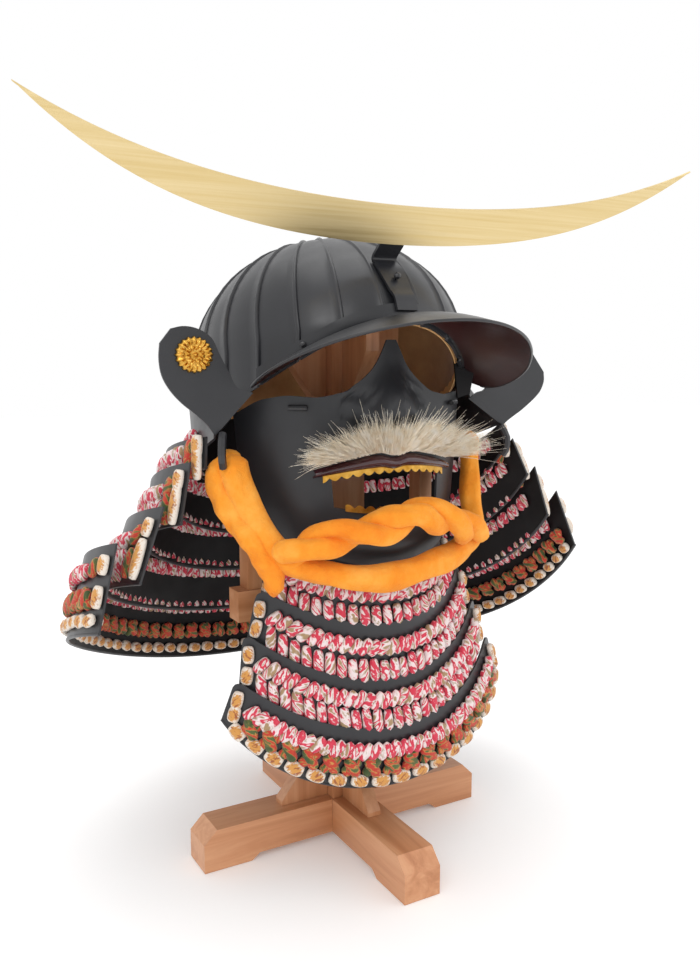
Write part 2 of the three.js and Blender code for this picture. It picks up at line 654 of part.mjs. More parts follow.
// Mask toggles, nose rivet
function pegOnMask(x, z, half) {
  const p = maskPoint(x, z);
  const n = unit([x * 0.9, -80, 0]);
  const mid = along(p, n, MASK_T + GAP + 2.6);
  const dir = unit([n[1], -n[0], 0]);
  return tube([along(mid, dir, -half), along(mid, dir, half)], 2.2, 8);
}
put('mask_toggle_right', pegOnMask(-75, 418, 8));
put('mask_toggle_left', pegOnMask(75, 418, 8));

// Crest bracket
function stripPath() {
  const list = [];
  const lats = [3, 9, 12, 18, 25, 31];
  for (const lat of lats) {
    const over = lat < 11 ? FLANGE_OFF + VISOR_T / 2 + 2 * GAP + STRIP_T / 2 : 2 * GAP + STRIP_T / 2;
    list.push(bowlPoint(0, lat, over));
  }
  return list;
}
const lean = CREST.lean * RAD;
const crestUp = [0, -Math.sin(lean), Math.cos(lean)];
const crestOut = [0, -Math.cos(lean), -Math.sin(lean)];
const crown = BOWL.z + Math.hypot(BOWL.c * tiltCos, BOWL.b * tiltSin);
const crestMiddle = [0, BOWL.y - CREST.ahead, crown + CREST.over];
const crestAt = (x, h, out) => along(along([x, crestMiddle[1], crestMiddle[2]], crestUp, h), crestOut, out);
const behind = -(CREST_T / 2 + GAP + STRIP_T / 2);
const stripLine = [...stripPath(), crestAt(0, -CREST.width + 1, behind), crestAt(0, -8, behind)];
const stripGrid = [-STRIP_W / 2, STRIP_W / 2].map((x) => stripLine.map((p) => [x, p[1], p[2]]));
put('crest_bracket', sheet(stripGrid, STRIP_T / 2, STRIP_T / 2));
const rivetSeat = bowlPoint(0, 19, STRIP_T + GAP + 0.2);
put('crest_rivet', ball(along(rivetSeat, unit(sub(rivetSeat, bowlPoint(0, 19, 0))), 3.6), 3, 10, 6));

// Crescent: a flat sheet, pointed at both tips, leaning forward.
function crescent() {
  const n = 40;
  const top = (u) => CREST.rise * (CREST.top2 * u * u + (1 - CREST.top2) * u ** 4);
  const low = (u) => -CREST.width + (CREST.rise + CREST.width) * (CREST.low2 * u * u + (1 - CREST.low2) * u ** 4);
  const grid = [];
  for (let i = 0; i <= n; i += 1) {
    const u = -1 + (2 * i) / n;
    const l = low(u) - (Math.abs(u) === 1 ? 0.8 : 0);
    grid.push([crestAt(CREST.half * u, l, 0), crestAt(CREST.half * u, top(u), 0)]);
  }
  return sheet(grid, CREST_T / 2, CREST_T / 2);
}
put('crescent', crescent());

// Medallions: a scalloped disc with raised petals, one solid.
function medallion() {
  const petals = 12;
  const outline = [];
  for (let k = 0; k < petals * 2; k += 1) {
    const a = (2 * Math.PI * k) / (petals * 2);
    const r = 16 + 1.2 * Math.cos(petals * a);
    outline.push([r * Math.cos(a) * 0.94, r * Math.sin(a)]);
  }
  const parts = [prism(outline, 2.2, [0, 0, 0], [1, 0, 0], [0, 0, 1])];
  for (let k = 0; k < 6; k += 1) {
    const a = (2 * Math.PI * k) / 6;
    const g = new THREE.SphereGeometry(4.9, 5, 3);
    g.scale(1, 0.5, 1);
    g.translate(8.6 * Math.cos(a), -2.6, 8.6 * Math.sin(a));
    parts.push(g);
  }
  const mid = new THREE.SphereGeometry(4.4, 5, 4);
  mid.scale(1, 0.6, 1);
  mid.translate(0, -2.8, 0);
  parts.push(mid);
  return fuse(parts);
}
const emblem = medallion();
const emblemRight = emblem.clone();
emblemRight.translate(-MEDALLION_RIGHT.x, FLAP_Y - LAME_T / 2 - GAP, MEDALLION_RIGHT.z);
put('flap_medallion_right', emblemRight);
const emblemLeft = emblem.clone();
emblemLeft.translate(MEDALLION_LEFT.x, FLAP_Y - LAME_T / 2 - GAP, MEDALLION_LEFT.z);
put('flap_medallion_left', emblemLeft);

// Visor rivets
const RIVET_R = 2.6;
function rivetOnVisor(s) {
  const [, , , root, top] = visorColumn(s);
  const seat = mix(root, top, 0.6);
  const away = unit([seat[0], seat[1] - BOWL.y, 0]);
  return ball(along(seat, away, VISOR_T / 2 + GAP + RIVET_R + 0.3), RIVET_R, 8, 5);
}
put('visor_rivet_right', rivetOnVisor(-0.68));
put('visor_rivet_left', rivetOnVisor(0.68));

// Cord hooks at the mask's cheeks and the chin cord: a whole loop under the chin, a twisted
// stretch across it, and a tail, knotted together.
const HOOK_X = 140;
const HOOK_R = 3.4;
const HOOK_UNDER = { right: 5.1, left: 3.6 };
function cordHook(side) {
  const flap = side < 0 ? FLAP_RIGHT : FLAP_LEFT;
  const under = side < 0 ? HOOK_UNDER.right : HOOK_UNDER.left;
  const [x0, z0] = flap.up[0];
  const [x1, z1] = flap.low[0];
  const seat = z0 + ((z1 - z0) * (HOOK_X - x0)) / (x1 - x0) - under;
  const path = [[HOOK_X, -62, seat], [HOOK_X + 3, -67, seat - 9], [HOOK_X + 3, -67, seat - 21], [HOOK_X + 1, -64, seat - 27]];
  const hook = tube(smooth(path, 5), HOOK_R, 7);
  return side < 0 ? mirrored(hook) : hook;
}
put('cord_hook_left', cordHook(1));
put('cord_hook_right', cordHook(-1));

const CORD_UNDER = [
  [-131.8, -56.5, 381], [-126, -60, 356], [-114, -76, 322], [-100, -92, 298], [-62, -109, 284], [-18, -118, 279],
  [28, -113, 284], [72, -96, 291], [96, -80, 306], [103, -66, 330], [107, -58, 362], [112, -50, 390],
];
const CORD_ACROSS = [
  [-108, -94, 298], [-84, -115, 318], [-54, -126, 327], [-22, -133, 333], [2, -133, 337], [26, -130, 325],
  [58, -117, 314], [88, -95, 304],
];
const CORD_TAIL = [[-122, -50, 382], [-138, -46, 362], [-132, -56, 336], [-120, -76, 310], [-110, -88, 288], [-107, -84, 266]];
put('chin_cord', fuse([
  tube(smooth(CORD_UNDER, 28), CORD_R, 6),
  tube(smooth(CORD_ACROSS, 16), CORD_TWIST_R, 7),
  tube(smooth(CORD_TAIL, 12), (f) => CORD_R * (f > 0.93 ? 0.6 : 0.97), 6),
]));

// Foot bars: side outline with chamfered ends, feet pads and the half joint.
function barOutline(half, jointTop) {
  const lift = PAD_LIFT;
  const slot = BAR_W / 2 + GAP;
  const mid = BAR_H / 2;
  const left = [[-half, 0], [-half + PAD_L, 0], [-half + PAD_L + 8, lift]];
  const right = left.map(([u, v]) => [-u, v]).reverse();
  const under = jointTop ? [] : [[-slot, lift], [-slot, mid + GAP / 2], [slot, mid + GAP / 2], [slot, lift]];
  const over = jointTop ? [[slot, BAR_H], [slot, mid - GAP / 2], [-slot, mid - GAP / 2], [-slot, BAR_H]] : [];
  return [
    ...left, ...under, ...right,
    [half, BAR_H - BAR_CHAMFER], [half - BAR_CHAMFER, BAR_H], ...over,
    [-half + BAR_CHAMFER, BAR_H], [-half, BAR_H - BAR_CHAMFER],
  ];
}
put('foot_bar_side', prism(barOutline(BAR_HALF_X, true), BAR_W, [0, BAR_W / 2, 0], [1, 0, 0], [0, 0, 1]));
put('foot_bar_front', prism(barOutline(BAR_HALF_Y, false), BAR_W, [-BAR_W / 2, 0, 0], [0, 1, 0], [0, 0, 1]));

// Post, fins, arms and cheek rests
const square = (h) => [[-h, -h], [h, -h], [h, h], [-h, h]];
const postBase = BAR_H + GAP;

// Height of the free space under the lining at a place near the middle.
function domeZ(x, y) {
  const grow = LINING_OUT - LINING_T;
  const a = BOWL.a + grow;
  const b = BOWL.b + grow;
  const c = BOWL.c + grow;
  const d = y - BOWL.y;
  // f = -d cos + e sin, u = d sin + e cos with e the height above the middle.
  const qa = (tiltSin / b) ** 2 + (tiltCos / c) ** 2;
  const qb = 2 * d * tiltSin * tiltCos * (1 / (c * c) - 1 / (b * b));
  const qc = (x / a) ** 2 + ((d * tiltCos) / b) ** 2 + ((d * tiltSin) / c) ** 2 - 1;
  return BOWL.z + (-qb + Math.sqrt(qb * qb - 4 * qa * qc)) / (2 * qa);
}
const HEAD_CLEAR = 2.8;
const postTop = Math.min(domeZ(POST_HALF, -POST_HALF), domeZ(POST_HALF, POST_HALF)) - HEAD_CLEAR;
put('post', prism(square(POST_HALF), postTop - postBase, [0, 0, postBase], [1, 0, 0], [0, 1, 0]));

function footFin() {
  const list = [[POST_HALF + GAP, postBase], [FIN_FOOT, postBase]];
  for (let k = 0; k <= 6; k += 1) {
    const f = k / 6;
    const r = POST_HALF + 4 + (FIN_FOOT - POST_HALF - 4) * (1 - f) ** 2.2;
    list.push([r, postBase + 4 + (FIN_FOOT_H - 4) * f]);
  }
  list.push([POST_HALF + GAP, postBase + FIN_FOOT_H]);
  return list;
}

function headFin(dx, dy) {
  const top = (r) => Math.min(domeZ(dx * r, dy * r), postTop + 14) - HEAD_CLEAR;
  const list = [[POST_HALF + GAP, FIN_HEAD_Z], [POST_HALF + 3, FIN_HEAD_Z]];
  list.push([FIN_HEAD, FIN_HEAD_Z + 56]);
  for (const r of [60, 46, 32]) list.push([r, top(r)]);
  list.push([POST_HALF + GAP, top(POST_HALF)]);
  return list;
}
const SIDES = [['left', 1, 0], ['right', -1, 0], ['back', 0, 1], ['front', 0, -1]];
for (const [word, dx, dy] of SIDES) {
  const origin = [(-dy * FIN_T) / 2, (dx * FIN_T) / 2, 0];
  const place = (outline) => prism(outline, FIN_T, origin, [dx, dy, 0], [0, 0, 1]);
  put(`foot_fin_${word}`, place(footFin()));
  put(`head_fin_${word}`, place(headFin(dx, dy)));
}

const armOutline = [
  [POST_HALF + GAP, ARM_Z], [ARM_REACH, ARM_Z], [ARM_REACH, ARM_Z + ARM_H], [POST_HALF + GAP, ARM_Z + ARM_H],
];
const arm = prism(armOutline, ARM_T, [0, ARM_T / 2, 0], [1, 0, 0], [0, 0, 1]);
put('arm_left', arm);
put('arm_right', mirrored(arm));
const restBase = ARM_Z + ARM_H + GAP;
const rest = prism(
  [[REST_X, -REST_W / 2], [REST_X + REST_T, -REST_W / 2], [REST_X + REST_T, REST_W / 2], [REST_X, REST_W / 2]],
  REST_TOP - restBase, [0, 0, restBase], [1, 0, 0], [0, 1, 0],
);
put('cheek_rest_left', rest);
put('cheek_rest_right', mirrored(rest));

const box = new THREE.Box3().setFromObject(group);
group.position.set(-(box.min.x + box.max.x) / 2, -(box.min.y + box.max.y) / 2, -box.min.z);

export default group;
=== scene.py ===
import math
import random

import bmesh
import bpy
import numpy as np
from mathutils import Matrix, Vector


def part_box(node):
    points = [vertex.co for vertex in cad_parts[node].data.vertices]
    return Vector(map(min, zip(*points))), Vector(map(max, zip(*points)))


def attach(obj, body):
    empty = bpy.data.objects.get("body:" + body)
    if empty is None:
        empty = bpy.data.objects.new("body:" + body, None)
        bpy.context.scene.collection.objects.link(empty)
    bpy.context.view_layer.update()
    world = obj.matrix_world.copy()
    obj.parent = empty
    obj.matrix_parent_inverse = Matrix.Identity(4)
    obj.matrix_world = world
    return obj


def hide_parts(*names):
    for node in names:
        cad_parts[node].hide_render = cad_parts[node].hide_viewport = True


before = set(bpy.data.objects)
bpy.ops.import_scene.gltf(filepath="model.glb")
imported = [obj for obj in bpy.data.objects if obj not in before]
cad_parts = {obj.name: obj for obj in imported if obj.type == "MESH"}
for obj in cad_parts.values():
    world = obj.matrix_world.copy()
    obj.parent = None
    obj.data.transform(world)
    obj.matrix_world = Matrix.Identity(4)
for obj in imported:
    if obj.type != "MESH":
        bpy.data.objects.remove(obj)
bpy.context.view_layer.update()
random.seed(7)
rng = np.random.default_rng(7)

# Points below are in millimetres from the middle of the stand's cross, as in the part's
# source; the post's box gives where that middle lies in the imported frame.
post_low, post_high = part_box("post")
SHIFT = np.array([(post_low[0] + post_high[0]) / 2, (post_low[1] + post_high[1]) / 2, 0.0])
RAD = math.pi / 180
GAP = 0.3


def metres(points):
    return np.asarray(points, float) / 1000 + SHIFT


# ---------------------------------------------------------------- camera, light, floor
cam_data = bpy.data.cameras.new("camera")
cam = bpy.data.objects.new("camera", cam_data)
bpy.context.scene.collection.objects.link(cam)
CAMERA = dict(place=[-414.2, -752.4, 464.2], pitch=81.45, turn=-29.5, lens=34.04, sensor=36, near=0.05)
cam.location = metres(CAMERA["place"])
cam.rotation_euler = (CAMERA["pitch"] * RAD, 0, CAMERA["turn"] * RAD)
cam_data.lens = CAMERA["lens"]
cam_data.sensor_width = CAMERA["sensor"]
cam_data.clip_start = CAMERA["near"]
bpy.context.scene.camera = cam

world = bpy.data.worlds.new("world")
bpy.context.scene.world = world
world.use_nodes = True
backdrop = world.node_tree.nodes["Background"]
backdrop.inputs["Color"].default_value = (1, 1, 1, 1)
backdrop.inputs["Strength"].default_value = 1.0


LOOK_AT = (0, 0, 0.35)


def area_light(name, where, size, power):
    """A soft square lamp of size (m) and power (W) that looks at the helmet."""
    data = bpy.data.lights.new(name, "AREA")
    data.size = size
    data.energy = power
    obj = bpy.data.objects.new(name, data)
    bpy.context.scene.collection.objects.link(obj)
    obj.location = where
    obj.rotation_euler = (Vector(LOOK_AT) - Vector(where)).to_track_quat("-Z", "Y").to_euler()


area_light("key", (-1.5, -1.6, 1.9), 1.2, 14)
area_light("fill", (1.7, -1.3, 1.2), 1.4, 5)
area_light("top", (0.1, 0.3, 2.2), 1.4, 8)
bpy.context.scene.view_settings.view_transform = "Standard"


# ---------------------------------------------------------------- materials
def material(name, colour, rough=0.5, metal=0.0, **more):
    m = bpy.data.materials.new(name)
    m.use_nodes = True
    b = m.node_tree.nodes["Principled BSDF"]
    b.inputs["Base Color"].default_value = (*colour, 1)
    b.inputs["Roughness"].default_value = rough
    b.inputs["Metallic"].default_value = metal
    for key, value in more.items():
        b.inputs[key.replace("_", " ")].default_value = value
    return m


def nodes_of(m):
    return m.node_tree.nodes, m.node_tree.links, m.node_tree.nodes["Principled BSDF"]


def coords(m, scale=(1, 1, 1), turn=(0, 0, 0)):
    nodes, links, _ = nodes_of(m)
    tc = nodes.new("ShaderNodeTexCoord")
    mp = nodes.new("ShaderNodeMapping")
    mp.inputs["Scale"].default_value = scale
    mp.inputs["Rotation"].default_value = turn
    links.new(tc.outputs["Object"], mp.inputs["Vector"])
    return mp.outputs["Vector"]


def noise(m, scale, detail=4.0, rough=0.5, vector=None, distortion=0.0):
    nodes, links, _ = nodes_of(m)
    n = nodes.new("ShaderNodeTexNoise")
    n.inputs["Scale"].default_value = scale
    n.inputs["Detail"].default_value = detail
    n.inputs["Roughness"].default_value = rough
    n.inputs["Distortion"].default_value = distortion
    links.new(vector if vector is not None else coords(m), n.inputs["Vector"])
    return n.outputs["Fac"]


def tint(m, fac, stops):
    """Base colour from fac through a ramp of (place, colour) stops."""
    nodes, links, b = nodes_of(m)
    r = nodes.new("ShaderNodeValToRGB")
    r.color_ramp.interpolation = "LINEAR"
    e = r.color_ramp.elements
    e[0].position, e[0].color = stops[0][0], (*stops[0][1], 1)
    e[1].position, e[1].color = stops[-1][0], (*stops[-1][1], 1)
    for pos, col in stops[1:-1]:
        x = e.new(pos)
        x.color = (*col, 1)
    links.new(fac, r.inputs["Fac"])
    links.new(r.outputs["Color"], b.inputs["Base Color"])


def value_ramp(m, fac, low, high, start=0.3, end=0.7):
    nodes, links, _ = nodes_of(m)
    r = nodes.new("ShaderNodeMapRange")
    r.inputs["From Min"].default_value = start
    r.inputs["From Max"].default_value = end
    r.inputs["To Min"].default_value = low
    r.inputs["To Max"].default_value = high
    links.new(fac, r.inputs["Value"])
    return r.outputs["Result"]


def bump(m, height, strength, distance=0.001, chain=None):
    nodes, links, b = nodes_of(m)
    n = nodes.new("ShaderNodeBump")
    n.inputs["Strength"].default_value = strength
    n.inputs["Distance"].default_value = distance
    links.new(height, n.inputs["Height"])
    if chain is not None:
        links.new(chain, n.inputs["Normal"])
    links.new(n.outputs["Normal"], b.inputs["Normal"])
    return n.outputs["Normal"]


def gloss(m, fac, low, high):
    """Roughness between low and high, by fac."""
    nodes, links, b = nodes_of(m)
    links.new(value_ramp(m, fac, low, high), b.inputs["Roughness"])


def lacquer(name, dark, light, rough, coat=0.15, shine=0.5):
    m = material(name, dark, rough, 0.0, Coat_Weight=coat, Coat_Roughness=0.25, Specular_IOR_Level=shine)
    tint(m, noise(m, 14, 5), [(0.3, dark), (0.7, light)])
    gloss(m, noise(m, 35, 6, 0.6), rough - 0.06, rough + 0.08)
    bump(m, noise(m, 420, 3), 0.05, 0.0006)
    return m


plate_mat = lacquer("plate lacquer", (0.010, 0.0105, 0.013), (0.017, 0.0175, 0.021), 0.42)
bowl_mat = lacquer("bowl lacquer", (0.008, 0.0085, 0.011), (0.015, 0.0155, 0.019), 0.38)
mask_mat = lacquer("mask lacquer", (0.012, 0.0125, 0.015), (0.019, 0.0195, 0.023), 0.46, 0.05)
# Black lacquer made darker than the outer plates: partly the lacquer's own black, partly painted shade for the
# insides.
inner_mat = lacquer("inside lacquer", (0.002, 0.0016, 0.002), (0.005, 0.004, 0.005), 0.5, 0.0, 0.18)
red_mat = lacquer("red inside lacquer", (0.008, 0.0022, 0.0028), (0.026, 0.004, 0.004), 0.34, 0.08, 0.3)
lip_mat = lacquer("lip lacquer", (0.030, 0.004, 0.008), (0.050, 0.008, 0.013), 0.22, 0.6)
steel_mat = lacquer("dark fittings", (0.010, 0.010, 0.012), (0.022, 0.022, 0.025), 0.35)

crest_mat = material("crest brass", (0.68, 0.53, 0.26), 0.36, 1.0)
stretch = coords(crest_mat, (6, 60, 400))
tint(crest_mat, noise(crest_mat, 1.0, 4, 0.6, stretch),
     [(0.25, (0.60, 0.45, 0.20)), (0.75, (0.74, 0.60, 0.34))])
gloss(crest_mat, noise(crest_mat, 1.0, 3, 0.6, stretch), 0.28, 0.42)
bump(crest_mat, noise(crest_mat, 1.0, 2, 0.5, stretch), 0.04, 0.0004)

gold_mat = material("gilt", (0.62, 0.34, 0.05), 0.32, 1.0)
tint(gold_mat, noise(gold_mat, 160, 4), [(0.3, (0.46, 0.22, 0.025)), (0.7, (0.72, 0.42, 0.09))])
bump(gold_mat, noise(gold_mat, 500, 3), 0.15, 0.0008)


def lace_coords(m, scale):
    """Coordinates that run with each lace: round it, and along it at a longer scale."""
    nodes, links, _ = nodes_of(m)
    at = nodes.new("ShaderNodeAttribute")
    at.attribute_name = "lace"
    mp = nodes.new("ShaderNodeMapping")
    mp.inputs["Scale"].default_value = scale
    links.new(at.outputs["Vector"], mp.inputs["Vector"])
    return mp.outputs["Vector"]


def silk(name, stops, scale=0.15):
    """Braided silk with patches of colour; scale is in patches per mm."""
    m = material(name, stops[0][1], 0.8, 0.0, Sheen_Weight=0.15, Sheen_Roughness=0.5)
    tint(m, noise(m, scale, 1.6, 0.5, lace_coords(m, (1, 1, 0.55)), 0.25), stops)
    fine = bump(m, noise(m, 1.6, 2, 0.6, lace_coords(m, (1, 1, 0.35))), 0.7, 0.0009)
    bump(m, noise(m, 900, 3, 0.6), 0.4, 0.0006, fine)
    return m


CRIMSON, RED, ROSE = (0.60, 0.024, 0.060), (0.66, 0.05, 0.09), (0.82, 0.64, 0.64)
WHITE, BEIGE = (0.82, 0.73, 0.72), (0.38, 0.25, 0.13)
pink_mat = silk("pink and white lacing", [
    (0.35, BEIGE), (0.41, WHITE), (0.475, ROSE), (0.495, CRIMSON), (0.59, RED), (0.62, WHITE), (0.68, BEIGE)])
cross_mat = silk("red and green lacing", [
    (0.34, (0.045, 0.075, 0.02)), (0.42, (0.12, 0.13, 0.03)), (0.45, (0.46, 0.20, 0.05)),
    (0.49, (0.52, 0.028, 0.016)), (0.57, (0.50, 0.05, 0.02)), (0.60, (0.58, 0.27, 0.07)),
    (0.65, (0.08, 0.12, 0.03))])


def shell_silk(name, middle, flecks, edge):
    """A lace coloured from its middle outwards, with flecks."""
    m = silk(name, [(0.38, flecks), (0.48, middle), (0.62, middle)], 0.4)
    nodes, links, b = nodes_of(m)
    at = nodes.new("ShaderNodeAttribute")
    at.attribute_name = "rim"
    inner = b.inputs["Base Color"].links[0].from_socket
    mixer = nodes.new("ShaderNodeMix")
    mixer.data_type = "RGBA"
    wobble = nodes.new("ShaderNodeMath")
    wobble.operation = "MULTIPLY_ADD"
    links.new(noise(m, 0.5, 2, 0.5, lace_coords(m, (1, 1, 1))), wobble.inputs[0])
    wobble.inputs[1].default_value = 1.1
    links.new(at.outputs["Fac"], wobble.inputs[2])
    links.new(value_ramp(m, wobble.outputs[0], 0, 1, 1.26, 1.48), mixer.inputs["Factor"])
    links.new(inner, mixer.inputs["A"])
    mixer.inputs["B"].default_value = (*edge, 1)
    links.new(mixer.outputs["Result"], b.inputs["Base Color"])
    return m


yellow_mat = shell_silk("yellow and white lacing", (0.64, 0.30, 0.07), (0.34, 0.10, 0.035), (0.80, 0.72, 0.63))

plush_mat = material("orange plush", (0.86, 0.30, 0.018), 0.95, 0.0, Sheen_Weight=0.3, Sheen_Roughness=0.4,
                     Sheen_Tint=(1.0, 0.62, 0.22, 1))
tint(plush_mat, noise(plush_mat, 22, 5, 0.6), [
    (0.30, (0.80, 0.20, 0.004)), (0.5, (0.88, 0.30, 0.018)), (0.72, (0.92, 0.43, 0.07))])
fur = bump(plush_mat, noise(plush_mat, 900, 4, 0.65), 0.5, 0.0011)
bump(plush_mat, noise(plush_mat, 75, 4, 0.6, None, 1.2), 0.6, 0.0035, fur)

# Cream horsehair lifted towards white: partly the hair's own colour, partly painted light that offsets the
# shade among the hairs.
hair_mat = material("horsehair", (0.86, 0.78, 0.66), 0.5, 0.0, Sheen_Weight=0.1)
tint(hair_mat, noise(hair_mat, 160, 3), [
    (0.3, (0.80, 0.66, 0.46)), (0.5, (0.97, 0.88, 0.71)), (0.7, (0.99, 0.95, 0.86))])

# Suede and its leather edge are lighter than the leather's own brown: partly real colour, partly painted light
# for light falling into the bowl.
suede_mat = material("brown suede", (0.16, 0.075, 0.03), 0.95, 0.0, Sheen_Weight=0.3)
tint(suede_mat, noise(suede_mat, 18, 5, 0.6), [(0.3, (0.30, 0.14, 0.045)), (0.7, (0.50, 0.28, 0.11))])
bump(suede_mat, noise(suede_mat, 600, 4, 0.6), 0.35, 0.0008)
edge_mat = material("tan leather edge", (0.72, 0.42, 0.17), 0.8)
bump(edge_mat, noise(edge_mat, 500, 4, 0.6), 0.35, 0.0008)


def wood(name, turn):
    m = material(name, (0.5, 0.2, 0.07), 0.42, 0.0, Coat_Weight=0.25, Coat_Roughness=0.3)
    nodes, links, _ = nodes_of(m)
    v = coords(m, (1, 1, 1), turn)
    stretched = nodes.new("ShaderNodeMapping")
    stretched.inputs["Scale"].default_value = (60, 60, 3.2)
    links.new(v, stretched.inputs["Vector"])
    grain = noise(m, 1.0, 6, 0.62, stretched.outputs["Vector"], 0.5)
    tint(m, grain, [
        (0.25, (0.40, 0.15, 0.055)), (0.48, (0.55, 0.245, 0.11)), (0.62, (0.63, 0.315, 0.16)),
        (0.8, (0.45, 0.18, 0.075))])
    gloss(m, grain, 0.36, 0.52)
    bump(m, grain, 0.12, 0.0008)
    return m


wood_z = wood("stand wood upright", (0, 0, 0))
wood_x = wood("stand wood side", (0, 90 * RAD, 0))
wood_y = wood("stand wood front", (90 * RAD, 0, 0))


# ---------------------------------------------------------------- mesh helpers
SHARP = 0.7
BACK_INNER = (0, 1, 0)
FRONT_INNER = (1, 0, 0)


def finish_mesh(name, verts, faces, mats, index=None, sharp=SHARP, replaces=()):
    """An object of the body from points in mm; edges bent by more than sharp stay hard."""
    mesh = bpy.data.meshes.new(name)
    mesh.from_pydata([tuple(map(float, v)) for v in metres(verts)], [], faces)
    for m in mats:
        mesh.materials.append(m)
    if index is not None:
        mesh.polygons.foreach_set("material_index", index)
    mesh.polygons.foreach_set("use_smooth", [True] * len(mesh.polygons))
    bm = bmesh.new()
    bm.from_mesh(mesh)
    loose = [v for v in bm.verts if not v.link_faces]
    bmesh.ops.delete(bm, geom=loose, context="VERTS")
    if sharp is not None:
        for e in bm.edges:
            if len(e.link_faces) == 2 and e.calc_face_angle(0) > sharp:
                e.smooth = False
    bm.to_mesh(mesh)
    bm.free()
    obj = bpy.data.objects.new(name, mesh)
    bpy.context.scene.collection.objects.link(obj)
    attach(obj, "root")
    if replaces:
        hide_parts(*replaces)
    return obj


def unit(v):
    v = np.asarray(v, float)
    n = np.linalg.norm(v, axis=-1, keepdims=True)
    return v / np.where(n == 0, 1, n)


def normals(grid, wrap):
    if wrap:
        du = np.roll(grid, -1, 0) - np.roll(grid, 1, 0)
    else:
        du = np.empty_like(grid)
        du[1:-1] = grid[2:] - grid[:-2]
        du[0] = grid[1] - grid[0]
        du[-1] = grid[-1] - grid[-2]
    dv = np.empty_like(grid)
    dv[:, 1:-1] = grid[:, 2:] - grid[:, :-2]
    dv[:, 0] = grid[:, 1] - grid[:, 0]
    dv[:, -1] = grid[:, -1] - grid[:, -2]
    return unit(np.cross(du, dv))


def sheet(name, grid, front, back, mats, keep=None, wrap=False, replaces=(), index=(0, 0, 0)):
    """Closed sheet over grid[column][row]; index gives front, back and rim materials, and
    keep(column, row) says which cells are there."""
    grid = np.asarray(grid, float)
    nc, nr = grid.shape[:2]
    n = normals(grid, wrap)
    verts = np.concatenate([(grid + n * front).reshape(-1, 3), (grid - n * back).reshape(-1, 3)])
    shift = nc * nr
    cells = nc if wrap else nc - 1
    faces, idx = [], []

    def at(i, j):
        return (i % nc) * nr + j

    def has(i, j):
        if j < 0 or j >= nr - 1 or (not wrap and (i < 0 or i >= cells)):
            return False
        return keep is None or keep(i % cells, j)

    for i in range(cells):
        for j in range(nr - 1):
            if not has(i, j):
                continue
            a, b, c, d = at(i, j), at(i + 1, j), at(i + 1, j + 1), at(i, j + 1)
            faces.append((a, b, c, d))
            idx.append(index[0])
            faces.append((d + shift, c + shift, b + shift, a + shift))
            idx.append(index[1])
            for near, p, q in (((i, j - 1), b, a), ((i + 1, j), c, b), ((i, j + 1), d, c), ((i - 1, j), a, d)):
                if not has(*near):
                    faces.append((p, q, q + shift, p + shift))
                    idx.append(index[2])
    return finish_mesh(name, verts, faces, mats, idx, SHARP, replaces)


def catmull(points, count):
    """A smooth curve through the points, as count + 1 points at even steps."""
    p = np.asarray(points, float)
    seg = np.linalg.norm(np.diff(p, axis=0), axis=1) ** 0.5
    t = np.concatenate([[0], np.cumsum(seg)])
    ext = np.concatenate([[2 * p[0] - p[1]], p, [2 * p[-1] - p[-2]]])
    te = np.concatenate([[t[0] - seg[0]], t, [t[-1] + seg[-1]]])
    out = []
    for i in range(1, len(ext) - 2):
        t0, t1, t2, t3 = te[i - 1:i + 3]
        for u in np.linspace(t1, t2, 24, endpoint=False):
            a1 = (t1 - u) / (t1 - t0) * ext[i - 1] + (u - t0) / (t1 - t0) * ext[i]
            a2 = (t2 - u) / (t2 - t1) * ext[i] + (u - t1) / (t2 - t1) * ext[i + 1]
            a3 = (t3 - u) / (t3 - t2) * ext[i + 1] + (u - t2) / (t3 - t2) * ext[i + 2]
            b1 = (t2 - u) / (t2 - t0) * a1 + (u - t0) / (t2 - t0) * a2
            b2 = (t3 - u) / (t3 - t1) * a2 + (u - t1) / (t3 - t1) * a3
            out.append((t2 - u) / (t2 - t1) * b1 + (u - t1) / (t2 - t1) * b2)
    out.append(p[-1])
    out = np.array(out)
    s = np.concatenate([[0], np.cumsum(np.linalg.norm(np.diff(out, axis=0), axis=1))])
    want = np.linspace(0, s[-1], count + 1)
    return np.stack([np.interp(want, s, out[:, k]) for k in range(3)], 1)


def frames(path):
    """Two cross directions at each point, carried along without twist."""
    t = np.empty_like(path)
    t[1:-1] = path[2:] - path[:-2]
    t[0] = path[1] - path[0]
    t[-1] = path[-1] - path[-2]
    t = unit(t)
    lifts = []
    lift = np.array([0, 0, 1.0]) if abs(t[0][2]) < 0.9 else np.array([1.0, 0, 0])
    for k in range(len(path)):
        lift = lift - t[k] * np.dot(lift, t[k])
        lift = lift / np.linalg.norm(lift)
        lifts.append(lift)
    lifts = np.array(lifts)
    return lifts, np.cross(t, lifts)


def ring_faces(rings, sides, base=0):
    """Faces that join each ring of vertices to the next, rings times."""
    faces = []
    for i in range(base, base + rings * sides, sides):
        for k in range(sides):
            k1 = (k + 1) % sides
            faces.append((i + k, i + k1, i + sides + k1, i + sides + k))
    return faces


def tube(path, radius, sides):
    """Vertices and faces of a capped tube; radius(f, angle) in mm."""
    path = np.asarray(path, float)
    lift, other = frames(path)
    n = len(path)
    verts = []
    for i in range(n):
        for k in range(sides):
            a = 2 * math.pi * k / sides
            r = radius(i / (n - 1), a)
            verts.append(path[i] + lift[i] * r * math.cos(a) + other[i] * r * math.sin(a))
    faces = ring_faces(n - 1, sides)
    faces.append(tuple(reversed(range(sides))))
    faces.append(tuple(range((n - 1) * sides, n * sides)))
    return verts, faces


